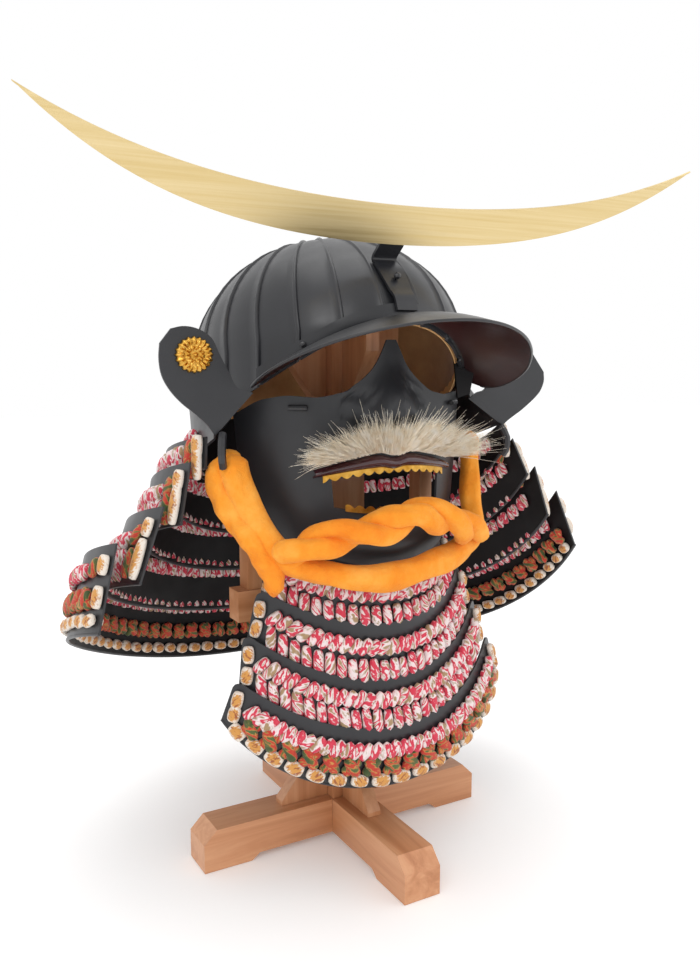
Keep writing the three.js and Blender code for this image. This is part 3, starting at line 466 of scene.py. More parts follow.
def bead(name, path, r, sides, mat):
    """A thin round bead along an edge, such as a rolled rim."""
    verts, faces = tube(path, lambda f, a: r, sides)
    finish_mesh(name, verts, faces, [mat])


def joined(parts):
    verts, faces, idx = [], [], []
    for v, f, m in parts:
        base = len(verts)
        verts.extend(v)
        faces.extend(tuple(i + base for i in q) for q in f)
        idx.extend([m] * len(f))
    return verts, faces, idx


# ---------------------------------------------------------------- shared shapes
BOWL = dict(y=23.5, z=453, a=121.5, b=138, c=109, tilt=15)
BOWL_T = 2.5
SEAMS = 22
RIM = dict(back=390, rise=96, yBack=160, span=270, power=2.9)
VISOR = dict(x=8, a=130.5, y=-72, b=116, sweep=92, z=487, drop=52)
VISOR_BEND = dict(sag=9, wide=1.05, ahead=1.15)
VISOR_END = dict(start=0.68, pull=0.6)
VISOR_T = 1.8
VISOR_FLANGE = 13
VISOR_ROOT = 57
SEAM_H = 1.5
TS, TC = math.sin(BOWL["tilt"] * RAD), math.cos(BOWL["tilt"] * RAD)


def bowl_point(az, lat, grow):
    """Point on the bowl grown by grow mm; az 0 is the front, lat 90 the crown (degrees)."""
    flat = math.cos(lat * RAD)
    x = (BOWL["a"] + grow) * math.sin(az * RAD) * flat
    f = (BOWL["b"] + grow) * math.cos(az * RAD) * flat
    u = (BOWL["c"] + grow) * math.sin(lat * RAD)
    return np.array([x, BOWL["y"] - f * TC + u * TS, BOWL["z"] + f * TS + u * TC])


def rim_z(y):
    return RIM["back"] + RIM["rise"] * (max(RIM["yBack"] - y, 0) / RIM["span"]) ** RIM["power"]


def bowl_column(az, grow, lift, lats, skirt=4):
    """One column from the rim, lift mm up, over the waist and the heights lats to the crown."""
    waist = bowl_point(az, 0, grow)
    low = min(rim_z(waist[1]) + lift, waist[2] - 1)
    col = [[waist[0], waist[1], low + (waist[2] - low) * k / skirt] for k in range(skirt)]
    col.append(waist)
    col.extend(bowl_point(az, lat, grow) for lat in lats)
    return col


# Bowl plates between raised seams
LATS = [4, 9, 15, 21, 27, 33, 39, 45, 51, 57, 63, 69, 75, 80, 85]
# Degrees from the seam's middle, and height as a share of SEAM_H
SEAM_SECTION = [(-1.25, 0), (-0.75, 0.55), (-0.45, 1.0), (0.0, 1.08), (0.45, 1.0), (0.75, 0.25),
                (0.85, -0.25)]
first, last = SEAM_SECTION[0][0], SEAM_SECTION[-1][0]
step = 360 / SEAMS
azs, ridge = [], []
for k in range(SEAMS):
    mid = (k + 0.5) * 360 / SEAMS
    for off, h in SEAM_SECTION:
        azs.append(mid + off)
        ridge.append(h)
    for f in (0.2, 0.4, 0.6, 0.8):
        azs.append(mid + last + (step - (last - first)) * f)
        ridge.append(0.25 * (1 - abs(2 * f - 1)) - 0.1)
outer = np.array([bowl_column(az, 0, 0, LATS) for az in azs])
raised = np.array([bowl_column(az, SEAM_H, 0, LATS) for az in azs])
ridge = np.array(ridge)[:, None, None]
fade = np.ones((1, outer.shape[1], 1))
fade[0, -2:, 0] = (0.6, 0.2)
grid = outer + (raised - outer) * ridge * fade
sheet("bowl_plates", grid, 0.0, BOWL_T, [bowl_mat, inner_mat], wrap=True, replaces=("bowl",),
      index=BACK_INNER)
CAP_R = 11
cap_line = [bowl_point(0, 90, over) for over in (-2.4, 0.2, 1.4)]
verts, faces = tube(cap_line, lambda f, a: CAP_R * (1 - 0.15 * f), 32)
finish_mesh("crown_cap", verts, faces, [bowl_mat])

# Suede lining and its scalloped edge
LIN_OUT = -BOWL_T - 0.6
LIN_COLUMNS = 88
EDGE_COLUMNS = 264
SCALLOPS = 33
lining = np.array([bowl_column(i * 360 / LIN_COLUMNS, LIN_OUT - 0.2, 5, LATS) for i in range(LIN_COLUMNS)])
sheet("suede_lining", lining, 0.0, 1.2, [suede_mat], wrap=True, replaces=("bowl_lining",))
edge = []
for i in range(EDGE_COLUMNS):
    az = i * 360 / EDGE_COLUMNS
    w = bowl_point(az, 0, LIN_OUT - 1.9)
    low = min(rim_z(w[1]) + 4.6, w[2] - 1)
    high = low + 6.5 + 2.2 * abs(math.sin(az * RAD * SCALLOPS))
    edge.append([[w[0], w[1], low], [w[0], w[1], (low + high) / 2], [w[0], w[1], high]])
sheet("lining_edge", np.array(edge), 0.0, 1.0, [edge_mat], wrap=True)

# Visor
FLANGE_OFF = SEAM_H + GAP + VISOR_T / 2 + 0.9


def visor_root(s):
    waist = bowl_point(s * VISOR_ROOT, 0, FLANGE_OFF)
    return np.array([waist[0], waist[1], rim_z(waist[1]) + 0.5])


def visor_rim(s):
    t = s * VISOR["sweep"] * RAD
    ahead = math.cos(t)
    wide = math.sin(t)
    if s > 0:
        wide = wide ** VISOR_BEND["wide"]
        if ahead > 0:
            ahead = ahead ** VISOR_BEND["ahead"]
    sag = VISOR_BEND["sag"] * s * s if s > 0 else 0
    z = VISOR["z"] - VISOR["drop"] * (1 - ahead) - sag
    rim = np.array([VISOR["x"] + VISOR["a"] * wide, VISOR["y"] - VISOR["b"] * ahead, z])
    end = max(0, abs(s) - VISOR_END["start"]) / (1 - VISOR_END["start"])
    return rim + (visor_root(s) - rim) * VISOR_END["pull"] * (1 - math.sqrt(max(0, 1 - end * end)))


def visor_column(s, n=9):
    az = s * VISOR_ROOT
    waist = bowl_point(az, 0, FLANGE_OFF)
    root = visor_root(s)
    high = root[2] - 0.5 + VISOR_FLANGE

    def up(z):
        if z <= waist[2]:
            return np.array([waist[0], waist[1], z])
        lat = math.asin((z - waist[2]) / (BOWL["c"] + FLANGE_OFF) / TC) / RAD
        return bowl_point(az, lat, FLANGE_OFF)

    rim = visor_rim(s)
    out = []
    for k in range(n + 1):
        f = k / n
        p = rim + (root - rim) * f
        out.append([p[0], p[1], p[2] + 5 * math.sin(math.pi * f) * (1 - s * s)])
    for f in (0.35, 0.7, 1.0):
        out.append(up(root[2] + (high - root[2]) * f))
    return out


VISOR_COLUMNS = 96
turns = [(i / VISOR_COLUMNS - 0.5) * math.pi for i in range(VISOR_COLUMNS + 1)]
vgrid = np.array([visor_column(math.sin(t)) for t in turns])
sheet("visor_plate", vgrid, VISOR_T / 2, VISOR_T / 2, [bowl_mat, red_mat], replaces=("visor",),
      index=BACK_INNER)

# Strip that closes the joint between the visor's root and the bowl
seam = []
for i in range(61):
    root = visor_root(-1 + i / 30)
    inner = bowl_point((-1 + i / 30) * VISOR_ROOT, 0, -0.8)
    between = [(root[0] + inner[0]) / 2, (root[1] + inner[1]) / 2, root[2] + 1.0]
    seam.append([root + (0, 0, 1.5), between, [inner[0], inner[1], root[2] + 0.8]])
sheet("visor_seam", np.array(seam), 0.6, 0.6, [bowl_mat])
bead("visor_edge", [visor_rim(math.sin((i - 70) / 140 * math.pi)) for i in range(141)], 1.25, 10, bowl_mat)

# Neck guard
LAME_T = 1.8
# Name, upper edge and lower edge, as arc_point reads them
LAMES = [
    ("neck_lame_top", [-56, 107.5, 431, 107.5, 431, 20, 142, 396], [-61, 143, 397, 143, 397, -61, 227, 320]),
    ("neck_lame_1", [-50, 149, 396, 149, 396, 0, 175, 331], [-50, 150, 371, 155, 373, 0, 180, 265]),
    ("neck_lame_2", [-50, 163, 376, 164, 380, 2, 185, 288], [-50, 172, 327, 184, 344, 3, 189, 222]),
    ("neck_lame_3", [-50, 186, 342, 193, 351, 4, 195, 240], [-50, 207, 282, 212, 301, 5, 197, 176]),
    ("neck_lame_4", [-48, 224, 316, 224, 324, 5, 204, 194], [-50, 241, 246, 250, 266, 5, 206, 121]),
]
FLAP_Y = -60
# x and z of a turned-back flap's upper and lower edges, from the fold outwards
FLAP_RIGHT = dict(
    up=[(113, 431), (126, 435), (133, 447), (141, 462), (147, 474), (158, 481), (170, 483), (180, 481)],
    low=[(146, 398), (152, 406), (162, 415), (173, 424), (182, 434), (188, 445), (190, 458), (189, 470)])
FLAP_LEFT = dict(
    up=[(104, 421), (112, 426), (120, 428), (125, 434), (133, 448), (141, 464), (151, 474), (163, 476),
        (175, 464)],
    low=[(143.6, 395), (150, 399.5), (157, 403.5), (165, 408), (174, 414), (182.7, 420.6), (188, 426),
         (192, 435), (191.5, 444)])


def arc_point(row, s, fall):
    """Point of a lame's edge; row is the ends' y, the right and left ends' x and z, and the
    back arc's middle y, depth and lowest z."""
    y, xr, zr, xl, zl, y0, b, zb = row
    start = math.acos((y0 - y) / b)
    t = start + s * (2 * math.pi - 2 * start)
    right = s < 0.5
    wide = (xr if right else xl) / math.sin(start)
    end = zr if right else zl
    k = fall[0] if right else fall[1]
    w = (1 + math.cos(t)) / (1 + math.cos(start))
    return np.array([-wide * math.sin(t), y0 - b * math.cos(t), zb + (end - zb) * (k * w + (1 - k) * w * w)])


def lame_point(k, s, h):
    """Point of lame k: s 0 (wearer's right end) to 1, h 0 at the upper edge to 1 at the lower."""
    _, up, low = LAMES[k]
    fall = (1, 1) if k == 0 else (1.5, 0.15)
    return arc_point(up, s, fall) * (1 - h) + arc_point(low, s, fall) * h


HS = [1, 0.97, 0.85, 0.7, 0.5, 0.3, 0.15, 0.03, 0]
for k in range(1, 5):
    name = LAMES[k][0]
    g = np.array([[lame_point(k, i / 120, h) for h in HS] for i in range(121)])
    sheet(name + "_plate", g, LAME_T / 2, LAME_T / 2, [plate_mat, inner_mat], replaces=(name,),
          index=FRONT_INNER)
    bead(name + "_rim", [lame_point(k, i / 120, 1.0) for i in range(121)], 1.5, 8, plate_mat)


def smooth_rows(rows, count):
    return catmull([(x, 0, z) for x, z in rows], count)[:, [0, 2]]


def flap_columns(side, flap):
    ups = smooth_rows(flap["up"], 32)
    lows = smooth_rows(flap["low"], 32)
    cols = []
    for up, low in zip(ups, lows):
        points = [low + (up - low) * f for f in (0, 0.25, 0.5, 0.75, 1)]
        cols.append([[side * x, FLAP_Y, z] for x, z in points])
    return cols


top = [[lame_point(0, i / 72, h) for h in (1, 0.75, 0.5, 0.25, 0)] for i in range(73)]
tgrid = np.array([*flap_columns(-1, FLAP_RIGHT)[::-1], *top[1:-1], *flap_columns(1, FLAP_LEFT)])
top_plate = sheet("neck_lame_top_plate", tgrid, LAME_T / 2, LAME_T / 2, [plate_mat, inner_mat],
                  replaces=("neck_lame_top",), index=FRONT_INNER)

# The flaps show plate lacquer on both sides
FLAP_NEAR = 0.003
flap_y = top_plate.data.vertices[0].co[1]
for face in top_plate.data.polygons:
    if abs(face.center[1] - flap_y) < FLAP_NEAR:
        face.material_index = 0


# ---------------------------------------------------------------- lacing
ALONG = 10
AROUND = 8
BLUNT = 0.38
ROWS = [(-math.cos(math.pi * i / ALONG), math.sin(math.pi * i / ALONG) ** BLUNT) for i in range(ALONG + 1)]
SEED_SPAN = 400
TWIST = 0.16  # turn of the weave, radians per mm
BEND = 0.5


def knot(centre, along, across, normal, length, width, thick, mat, dive):
    """One stuffed lace along a direction, crowned by BEND and with its far end dive mm lower,
    with its own coordinates for the weave."""
    along, across, normal = unit(along), unit(across), unit(normal)
    verts, local, rim = [], [], []
    seed = [random.random() * SEED_SPAN for _ in range(3)]
    twist = TWIST if random.random() < 0.8 else -TWIST
    for x, r in ROWS:
        mid = centre + along * (x * length / 2) + normal * (BEND * (1 - x * x) - dive * max(x, 0) ** 2)
        for k in range(AROUND):
            a = 2 * math.pi * k / AROUND
            verts.append(mid + across * (r * width / 2 * math.cos(a)) + normal * (r * thick / 2 * math.sin(a)))
            t = a + x * length / 2 * twist
            half = r * width / 2
            shift = (half * math.cos(t), half * math.sin(t), x * length / 2)
            local.append(tuple(p + q for p, q in zip(seed, shift)))
            rim.append(math.hypot(x, r * math.cos(a)) if math.sin(a) > -0.1 else 1.0)
    return verts, ring_faces(ALONG, AROUND), mat, local, rim


def place(point, s, h, ds=2e-3, dh=2e-2):
    """Place and local axes (across to +s, down, outward) on a surface point(s, h)."""
    u = unit(point(min(s + ds, 1), h) - point(max(s - ds, 0), h))
    d = unit(point(s, min(h + dh, 1)) - point(s, max(h - dh, 0)))
    return point(s, h), u, d, unit(np.cross(u, d))


def jitter(a):
    return 1 + a * (random.random() * 2 - 1)


def row_length(point, s0, s1, h):
    pts = np.array([point(s0 + (s1 - s0) * i / 60, h) for i in range(61)])
    return float(np.linalg.norm(np.diff(pts, axis=0), axis=1).sum())


PAIR_SPREAD = 8 * RAD
CROSS_LIFT = 0.9


def style(mat, pitch, slant, length, width, thick, lift, pair=0.0, cross=False, dive=0.0):
    """How a row's laces look. Sizes in mm, slant in radians: pitch 0 is one lace, lift is the
    laces' middle over the plate, and pair is the distance between two that lie side by side."""
    return dict(mat=mat, pitch=pitch, slant=slant, size=(length, width, thick), lift=lift,
                pair=pair, cross=cross, dive=dive)


def lace_row(point, ends, h, look, surface, out=1.0):
    """Laces between two ends of a plate at height h, on a surface that is surface mm from the
    plate's middle, on its outer side where out is 1."""
    parts = []
    s0, s1 = ends
    pair, cross = look["pair"], look["cross"]
    count = max(1, round(row_length(point, s0, s1, h) / look["pitch"])) if look["pitch"] else 1
    for i in range(count):
        c, u, d, n = place(point, s0 + (s1 - s0) * (i + 0.5) / count, h)
        n = n * out
        c = c + n * (surface + look["lift"])
        for sign in ((-1, 1) if (pair or cross) else (1,)):
            turn = look["slant"] * (sign if cross else 1) + (sign * PAIR_SPREAD if pair else 0)
            a = turn + 0.10 * (random.random() - 0.5)
            along = d * math.cos(a) + u * math.sin(a)
            across = np.cross(n, along)
            over = CROSS_LIFT * sign if cross else 0
            where = c + u * (sign * pair / 2) + n * over + d * (random.random() - 0.5)
            length, width, thick = (size * jitter(by) for size, by in zip(look["size"], (0.07, 0.07, 0.06)))
            parts.append(knot(where, along, across, n, length, width, thick, look["mat"], look["dive"]))
    return parts


def single(point, s, h, look, surface, out=1.0):
    """One lace at s."""
    return lace_row(point, (s, s), h, look, surface, out)


def build(name, parts, replaces=()):
    """A lacing piece from its laces, with the attributes that its materials read."""
    v, f, idx = joined([part[:3] for part in parts])
    local = [p for part in parts for p in part[3]]
    rim = [r for part in parts for r in part[4]]
    obj = finish_mesh(name, v, f, LACES, idx, None, replaces)
    lace = obj.data.attributes.new("lace", "FLOAT_VECTOR", "POINT")
    lace.data.foreach_set("vector", np.array(local, np.float32).ravel())
    outer_part = obj.data.attributes.new("rim", "FLOAT", "POINT")
    outer_part.data.foreach_set("value", np.array(rim, np.float32))


LACES = [pink_mat, cross_mat, yellow_mat]
PINK, CROSS, YELLOW = range(3)

# Throat guard
THROAT_T = 1.8
# Each plate's upper and lower edge: the ends' x, y and z, the middle's y and z, and the sweep
THROAT_COLUMNS = ("x", "y", "z", "yc", "zc", "sweep")
THROAT = [
    ("throat_plate_1", (82.3, -38.8, 301, -92.3, 288, 64), (99, -37, 254, -91.5, 220, 61)),
    ("throat_plate_2", (104, -44, 264, -97, 233, 40), (115, -44, 219, -94, 171, 40)),
    ("throat_plate_3", (120, -49, 229, -99.5, 184, 40), (126, -52, 182, -103, 131, 40)),
    ("throat_plate_4", (131, -57.2, 192, -107.7, 143, 45), (143, -54, 158, -107.5, 91, 71)),
]


def front_point(e, s):
    sw = e["sweep"] * RAD
    t = (1 - math.cos(s * sw)) / (1 - math.cos(sw))
    x = e["x"] * math.sin(s * sw) / math.sin(sw)
    return np.array([x, e["yc"] + (e["y"] - e["yc"]) * t, e["zc"] + (e["z"] - e["zc"]) * t])


def throat_point(k):
    """The surface of throat plate k: s 0 (wearer's right end) to 1, h 0 at the upper edge."""
    up, low = (dict(zip(THROAT_COLUMNS, row)) for row in THROAT[k][1:])

    def point(s, h):
        q = 2 * s - 1
        return front_point(up, q) * (1 - h) + front_point(low, q) * h
    return point


CORNER = 0.036
NEAR_END = [0, 0.003, 0.008, 0.015, 0.024]
BETWEEN = [CORNER + (1 - 2 * CORNER) * i / 56 for i in range(57)]
COLUMNS = NEAR_END + BETWEEN + [1 - s for s in NEAR_END[::-1]]


def rounded(s):
    """How far a plate's upper edge is cut down at s, as a share of its height."""
    inward = 1 - min(s, 1 - s) / CORNER
    return 0.2 * (1 - math.sqrt(1 - inward * inward)) if inward > 0 else 0.0


for k, (name, _, _) in enumerate(THROAT):
    pt = throat_point(k)
    g = np.array([[pt(s, rounded(s) + (1 - rounded(s)) * h) for h in HS] for s in COLUMNS])
    sheet(name + "_plate", g, THROAT_T / 2, THROAT_T / 2, [plate_mat, inner_mat], replaces=(name,),
          index=BACK_INNER)
    bead(name + "_rim", [pt(i / 60, 1.0) for i in range(61)], 1.4, 8, plate_mat)

THROAT_OUT = -1.0
rope = style(PINK, 8.6, -36 * RAD, 16, 9.6, 9, 3.4)
# Ends, heights of rope and stitches, and the stitches' length
THROAT_ROWS = [((0.06, 0.94), 0.43, 0.755, 23), ((0.055, 0.945), 0.33, 0.72, 26.5),
               ((0.05, 0.95), 0.33, 0.72, 26.5)]
for k, (ends, rope_h, tall_h, length) in enumerate(THROAT_ROWS):
    pt = throat_point(k)
    stitch = style(PINK, 10.4, 7 * RAD, length, 9.4, 8, 2.8, dive=6.5)
    parts = lace_row(pt, ends, rope_h, rope, THROAT_T / 2, THROAT_OUT)
    parts += lace_row(pt, ends, tall_h, stitch, THROAT_T / 2, THROAT_OUT)
    for s, a in ((0.024, 0.1), (0.976, -0.1)):
        upper = style(YELLOW, 0, a, 15, 10.5, 8, 3)
        lower = style(YELLOW, 0, -a, 16, 10.5, 8, 3)
        parts += single(pt, s, rope_h - 0.02, upper, THROAT_T / 2, THROAT_OUT)
        parts += single(pt, s, tall_h - 0.05, lower, THROAT_T / 2, THROAT_OUT)
    build("throat_laces_%d" % (k + 1), parts, ("throat_lacing_%d" % (k + 1),))
pt = throat_point(3)
rope = style(PINK, 8.6, -36 * RAD, 16, 10, 8, 3.4)
parts = lace_row(pt, (0.06, 0.94), 0.37, rope, THROAT_T / 2, THROAT_OUT)
for s in (0.026, 0.974):
    parts += single(pt, s, 0.35, style(YELLOW, 0, 0.1, 15, 10.5, 8, 3), THROAT_T / 2, THROAT_OUT)
build("throat_laces_4", parts, ("throat_lacing_4",))
crossed = style(CROSS, 19, 42 * RAD, 20, 10.5, 7.5, 3, cross=True)
parts = lace_row(pt, (0.06, 0.94), 0.635, crossed, THROAT_T / 2, THROAT_OUT)
for s in (0.032, 0.968):
    parts += single(pt, s, 0.63, style(YELLOW, 0, 0.1, 13.5, 11, 8, 3), THROAT_T / 2, THROAT_OUT)
build("throat_laces_cross", parts, ("throat_lacing_cross",))
shell = style(YELLOW, 19, 84 * RAD, 16, 11.5, 7.5, 2.8)
parts = lace_row(pt, (0.03, 0.97), 0.87, shell, THROAT_T / 2, THROAT_OUT)
build("throat_laces_edge", parts, ("throat_lacing_edge",))


# Neck guard lacing, on the outside and as knots showing on the inside
def neck_point(k):
    def point(s, h):
        return lame_point(k, s, h)
    return point


END_STEP = 0.018
NECK_ENDS = (0.045, 0.955)
rope = style(PINK, 8.8, 38 * RAD, 16, 9.8, 9, 3.6)
tall_end = style(YELLOW, 0, 0, 33, 10.5, 8.5, 3.6)
short_end = style(YELLOW, 0, 0, 17, 11, 8.5, 3.6)
tall_inner = style(CROSS, 0, 0, 27, 10.5, 8.5, 3.6)
short_inner = style(CROSS, 0, 0.5, 18, 11, 8.5, 3.6)
# Each lame's ends, heights of rope and stitches, and the stitches' length
NECK_ROWS = [((0.12, 0.88), 0.60, 0.80, 20)] + [(NECK_ENDS, 0.42, 0.735, 27)] * 3
for k, (ends, rope_h, tall_h, length) in enumerate(NECK_ROWS):
    pt = neck_point(k)
    parts = lace_row(pt, ends, rope_h, rope, LAME_T / 2)
    parts += lace_row(pt, ends, tall_h, style(PINK, 10.4, 0, length, 9.4, 8, 3.0, dive=5), LAME_T / 2)
    if k:
        for end, step in ((0.010, END_STEP), (0.990, -END_STEP)):
            parts += single(pt, end, 0.27, short_end, LAME_T / 2)
            parts += single(pt, end, 0.68, tall_end, LAME_T / 2)
            parts += single(pt, end + step, 0.36, short_inner, LAME_T / 2)
            parts += single(pt, end + step, 0.72, tall_inner, LAME_T / 2)
    build("neck_laces_%d" % k, parts, ("neck_lacing_%d" % k,))
pt = neck_point(4)
parts = lace_row(pt, NECK_ENDS, 0.28, rope, LAME_T / 2)
for end, step in ((0.008, END_STEP), (0.992, -END_STEP)):
    parts += single(pt, end, 0.24, short_end, LAME_T / 2)
    parts += single(pt, end + step, 0.26, style(CROSS, 0, 0.5, 17, 11, 8.5, 3.6), LAME_T / 2)
build("neck_laces_4", parts, ("neck_lacing_4",))
crossed = style(CROSS, 18.5, 42 * RAD, 20, 10.5, 8, 3.4, cross=True)
parts = lace_row(pt, (0.022, 0.978), 0.60, crossed, LAME_T / 2)
for s in (0.008, 0.992):
    parts += single(pt, s, 0.60, style(YELLOW, 0, 0, 18, 12, 8, 3.4), LAME_T / 2)
build("neck_laces_cross", parts, ("neck_lacing_cross",))
shell = style(YELLOW, 17.5, 80 * RAD, 15, 11, 7.5, 3.2)
build("neck_laces_edge", lace_row(pt, (0.006, 0.994), 0.85, shell, LAME_T / 2), ("neck_lacing_edge",))

inside = []
pairs = style(PINK, 18, 0, 13.5, 8.2, 6, 2.0, pair=7.8)
crossed = style(CROSS, 18, 40 * RAD, 18, 10, 7, 2.4, cross=True)
shell = style(YELLOW, 17, 80 * RAD, 14, 10.5, 7, 2.2)
for k, h in ((1, 0.33), (2, 0.33), (3, 0.33), (4, 0.24)):
    inside += lace_row(neck_point(k), (0.03, 0.97), h, pairs, LAME_T / 2, -1.0)
inside += lace_row(pt, (0.012, 0.988), 0.60, crossed, LAME_T / 2, -1.0)
inside += lace_row(pt, (0.008, 0.992), 0.86, shell, LAME_T / 2, -1.0)
build("neck_laces_inside", inside)

# ---------------------------------------------------------------- face mask
MASK_T = 2
# z, half width, y of the sides, depth
MASK_SECTIONS = [(280, 92, 4, 96), (300, 99, 3, 99), (337, 107, 3, 97), (365, 111, 3, 95),
                 (420, 116, 4, 94), (475, 117, 4, 92)]
# x and z of the mask's edges
MASK_TOP = [(0, 473), (5, 473), (9, 462), (16, 450), (27, 440), (42, 430), (62, 426), (84, 428),
            (100, 424), (107, 417), (116, 408)]
MASK_LOW = [(0, 284), (40, 286), (80, 296), (116, 312)]
MOUTH = dict(half=52, top=358, bottom=335)
NOSE = dict(z=412, up=44, down=17, half=34, out=19)
NOSTRIL = dict(x=19, z=406, r=13, out=6)
WINGS = [(-31, 416), (16, 419)]
SWEEP = math.sin(76 * RAD)


def table(rows, x, col=1):
    return float(np.interp(x, [r[0] for r in rows], [r[col] for r in rows]))


def smooth_table(rows, x):
    """Interpolation with rounded corners: the mean over a short stretch."""
    return sum(table(rows, x + d) for d in (-4, -2, 0, 2, 4)) / 5


def bell(d):
    return (1 + math.cos(math.pi * d)) / 2 if abs(d) < 1 else 0.0


def nose_out(x, z):
    """How far nose, nostrils and the rolls beside them stand out of the plain mask."""
    rise = (z - NOSE["z"]) / NOSE["up"] if z > NOSE["z"] else (NOSE["z"] - z) / NOSE["down"]
    half = NOSE["half"] * (1 - 0.45 * min(rise, 1) if z > NOSE["z"] else 1)
    ridge_out = 4 * bell(x / 15) * bell((z - 440) / 40)
    wing = bell(math.hypot(abs(x) - NOSTRIL["x"], z - NOSTRIL["z"]) / NOSTRIL["r"])
    rings = 0.0
    for cx, cz in WINGS:
        d = math.hypot(x - cx, (z - cz) * 1.05)
        rings += 3.2 * bell(d / 13) - 1.6 * bell((d - 13.5) / 4) + 1.2 * bell((d - 18) / 4)
    return NOSE["out"] * bell(x / half) * bell(rise) + ridge_out + NOSTRIL["out"] * wing + rings


def mask_point(x, z, extra=0.0):
    a, y0, b = (table(MASK_SECTIONS, z, c) for c in (1, 2, 3))
    q = min(abs(x) / a, SWEEP)
    xx = math.copysign(q * a, x)
    chin = 7 * bell(xx / 46) * bell((z - 300) / 26)
    return np.array([xx, y0 - b * math.sqrt(1 - q * q) - nose_out(xx, z) - chin - extra, z])


MC = 55
SIDE = 112.5
mask_x = sorted(set([round(SIDE * math.sin(t * math.pi / 2), 3) for t in np.linspace(0, 1, 41)] + [MC]))
mask_x = [x for x in mask_x if x == MC or abs(x - MC) > 1.2]
mask_cols = [-x for x in mask_x[:0:-1]] + mask_x
LOWN, UPN = 14, 34
WIDEST = 116.0


def mask_column(x):
    low = smooth_table(MASK_LOW, abs(x)) if abs(x) > 4 else MASK_LOW[0][1]
    top_z = smooth_table(MASK_TOP, abs(x)) if abs(x) > 8 else table(MASK_TOP, abs(x))
    bow = 5 * max(1 - (x / MC) ** 2, 0)
    under, over = MOUTH["bottom"] - bow, MOUTH["top"] + bow
    zs = [low + (under - low) * k / LOWN for k in range(LOWN + 1)]
    zs += [over + (top_z - over) * k / UPN for k in range(UPN + 1)]
    return [mask_point(x / WIDEST * table(MASK_SECTIONS, z, 1), z) for z in zs]


mgrid = np.array([mask_column(x) for x in mask_cols])
m0, m1 = mask_cols.index(-MC), mask_cols.index(MC)
sheet("mask_shell", mgrid, MASK_T, 0, [mask_mat, red_mat], keep=lambda i, j: not (j == LOWN and m0 <= i < m1),
      replaces=("face_mask",), index=BACK_INNER)


def face_strip(name, xs, low_at, high_at, near, far, mat, rows, round_out, replaces):
    """A strip on the mask between two heights, near to far mm over it, its edges rounded."""
    cols = []
    for x in xs:
        lo, hi = low_at(x), high_at(x)
        shares = [k / rows for k in range(rows + 1)]
        cols.append([mask_point(x, lo + (hi - lo) * f, far - round_out * (2 * f - 1) ** 2) for f in shares])
    sheet(name, np.array(cols), 0.0, far - near - round_out, [mat], replaces=replaces)


def span(half, n):
    return [-half + 2 * half * i / n for i in range(n + 1)]


FACE_OFF = MASK_T + 2 * GAP


def bow_at(x):
    return 5 * max(1 - (x / MOUTH["half"]) ** 2, -0.9)


def lip_low(x):
    return MOUTH["top"] + 5 + bow_at(x)


def lip_dip(x):
    return 2.6 * bell(x / 13)


def lip_high(x):
    peaks = 0.8 * (bell((x - 20) / 15) + bell((x + 20) / 15))
    return lip_low(x) + 10 - 3 * (x / 63) ** 2 - lip_dip(x) + peaks


face_strip("lip", span(67, 64), lambda x: lip_low(x) - lip_dip(x) * 0.8, lip_high,
           FACE_OFF, FACE_OFF + 6, lip_mat, 10, 4.6, ("upper_lip",))


def wave(x):
    return 3.0 * abs(math.sin(math.pi * x / 9.2))


face_strip("teeth_upper", span(60, 150), lambda x: lip_low(x) - 2.6 - wave(x), lambda x: lip_low(x) + 1.5,
           FACE_OFF, FACE_OFF + 1.2, gold_mat, 3, 0.0, ("upper_teeth",))


def chin_teeth(x):
    return MOUTH["bottom"] - 1.5 - bow_at(x)


face_strip("teeth_lower", span(44, 120), chin_teeth, lambda x: chin_teeth(x) + 3.2 + wave(x),
           FACE_OFF + 1, FACE_OFF + 2.2, gold_mat, 3, 0.0, ("lower_teeth",))

# Moustache hairs: rooted on the face above the lip, fanned out sideways and upwards
verts, faces = [], []


def strand(p0, d0, d1, length, thick):
    """One hair from p0, bending from direction d0 to d1, added to verts and faces."""
    base = len(verts)
    segs = 4
    pos = np.array(p0, float)
    for i in range(segs + 1):
        f = i / segs
        d = unit(d0 * (1 - f) + d1 * f)
        side = unit(np.cross(d, [0.3, 0.2, 0.9]))
        up = np.cross(d, side)
        r = thick * (1 - 0.75 * f)
        for k in range(3):
            a = 2 * math.pi * k / 3
            verts.append(pos + side * r * math.cos(a) + up * r * math.sin(a))
        pos = pos + d * (length / segs)
    faces.extend(ring_faces(segs, 3, base))


ROOT_HALF = 58
HAIRS = 5600
core_line = []
for i in range(41):
    x = -ROOT_HALF + 2 * ROOT_HALF * i / 40
    core_line.append(mask_point(x, lip_high(x) + 6, MASK_T + 3))
for _ in range(HAIRS):
    q = 2 * rng.random() - 1
    x = ROOT_HALF * q
    z = lip_high(x) + 2 + 8 * rng.random()
    p = mask_point(x, z, MASK_T + 2 + 7 * rng.random())
    long = rng.random() < 0.07
    tilt = math.copysign(abs(q) ** 0.8, q) * 86 * RAD + rng.normal() * (0.22 if long else 0.15)
    lean = -0.42 - 0.25 * rng.random()
    d0 = unit(np.array([math.sin(tilt) * 0.8, lean, math.cos(tilt) * 0.5 + 0.1]))
    sway, rise = 0.2 * rng.normal(), 0.06 * rng.normal()
    d1 = unit(np.array([math.sin(tilt) * (1 + sway), lean * 0.6, math.cos(tilt) * 0.9 + rise]))
    length = (17 + 11 * rng.random()) * (1 + 0.42 * abs(q)) * (1.55 if long else 1)
    strand(p, d0, d1, length, 0.20 + 0.12 * rng.random())
finish_mesh("moustache_hairs", verts, faces, [hair_mat], None, None, ("moustache",))
v, f = tube(core_line, lambda f, a: 1.2 + 3.0 * math.sin(math.pi * f) ** 0.5, 16)
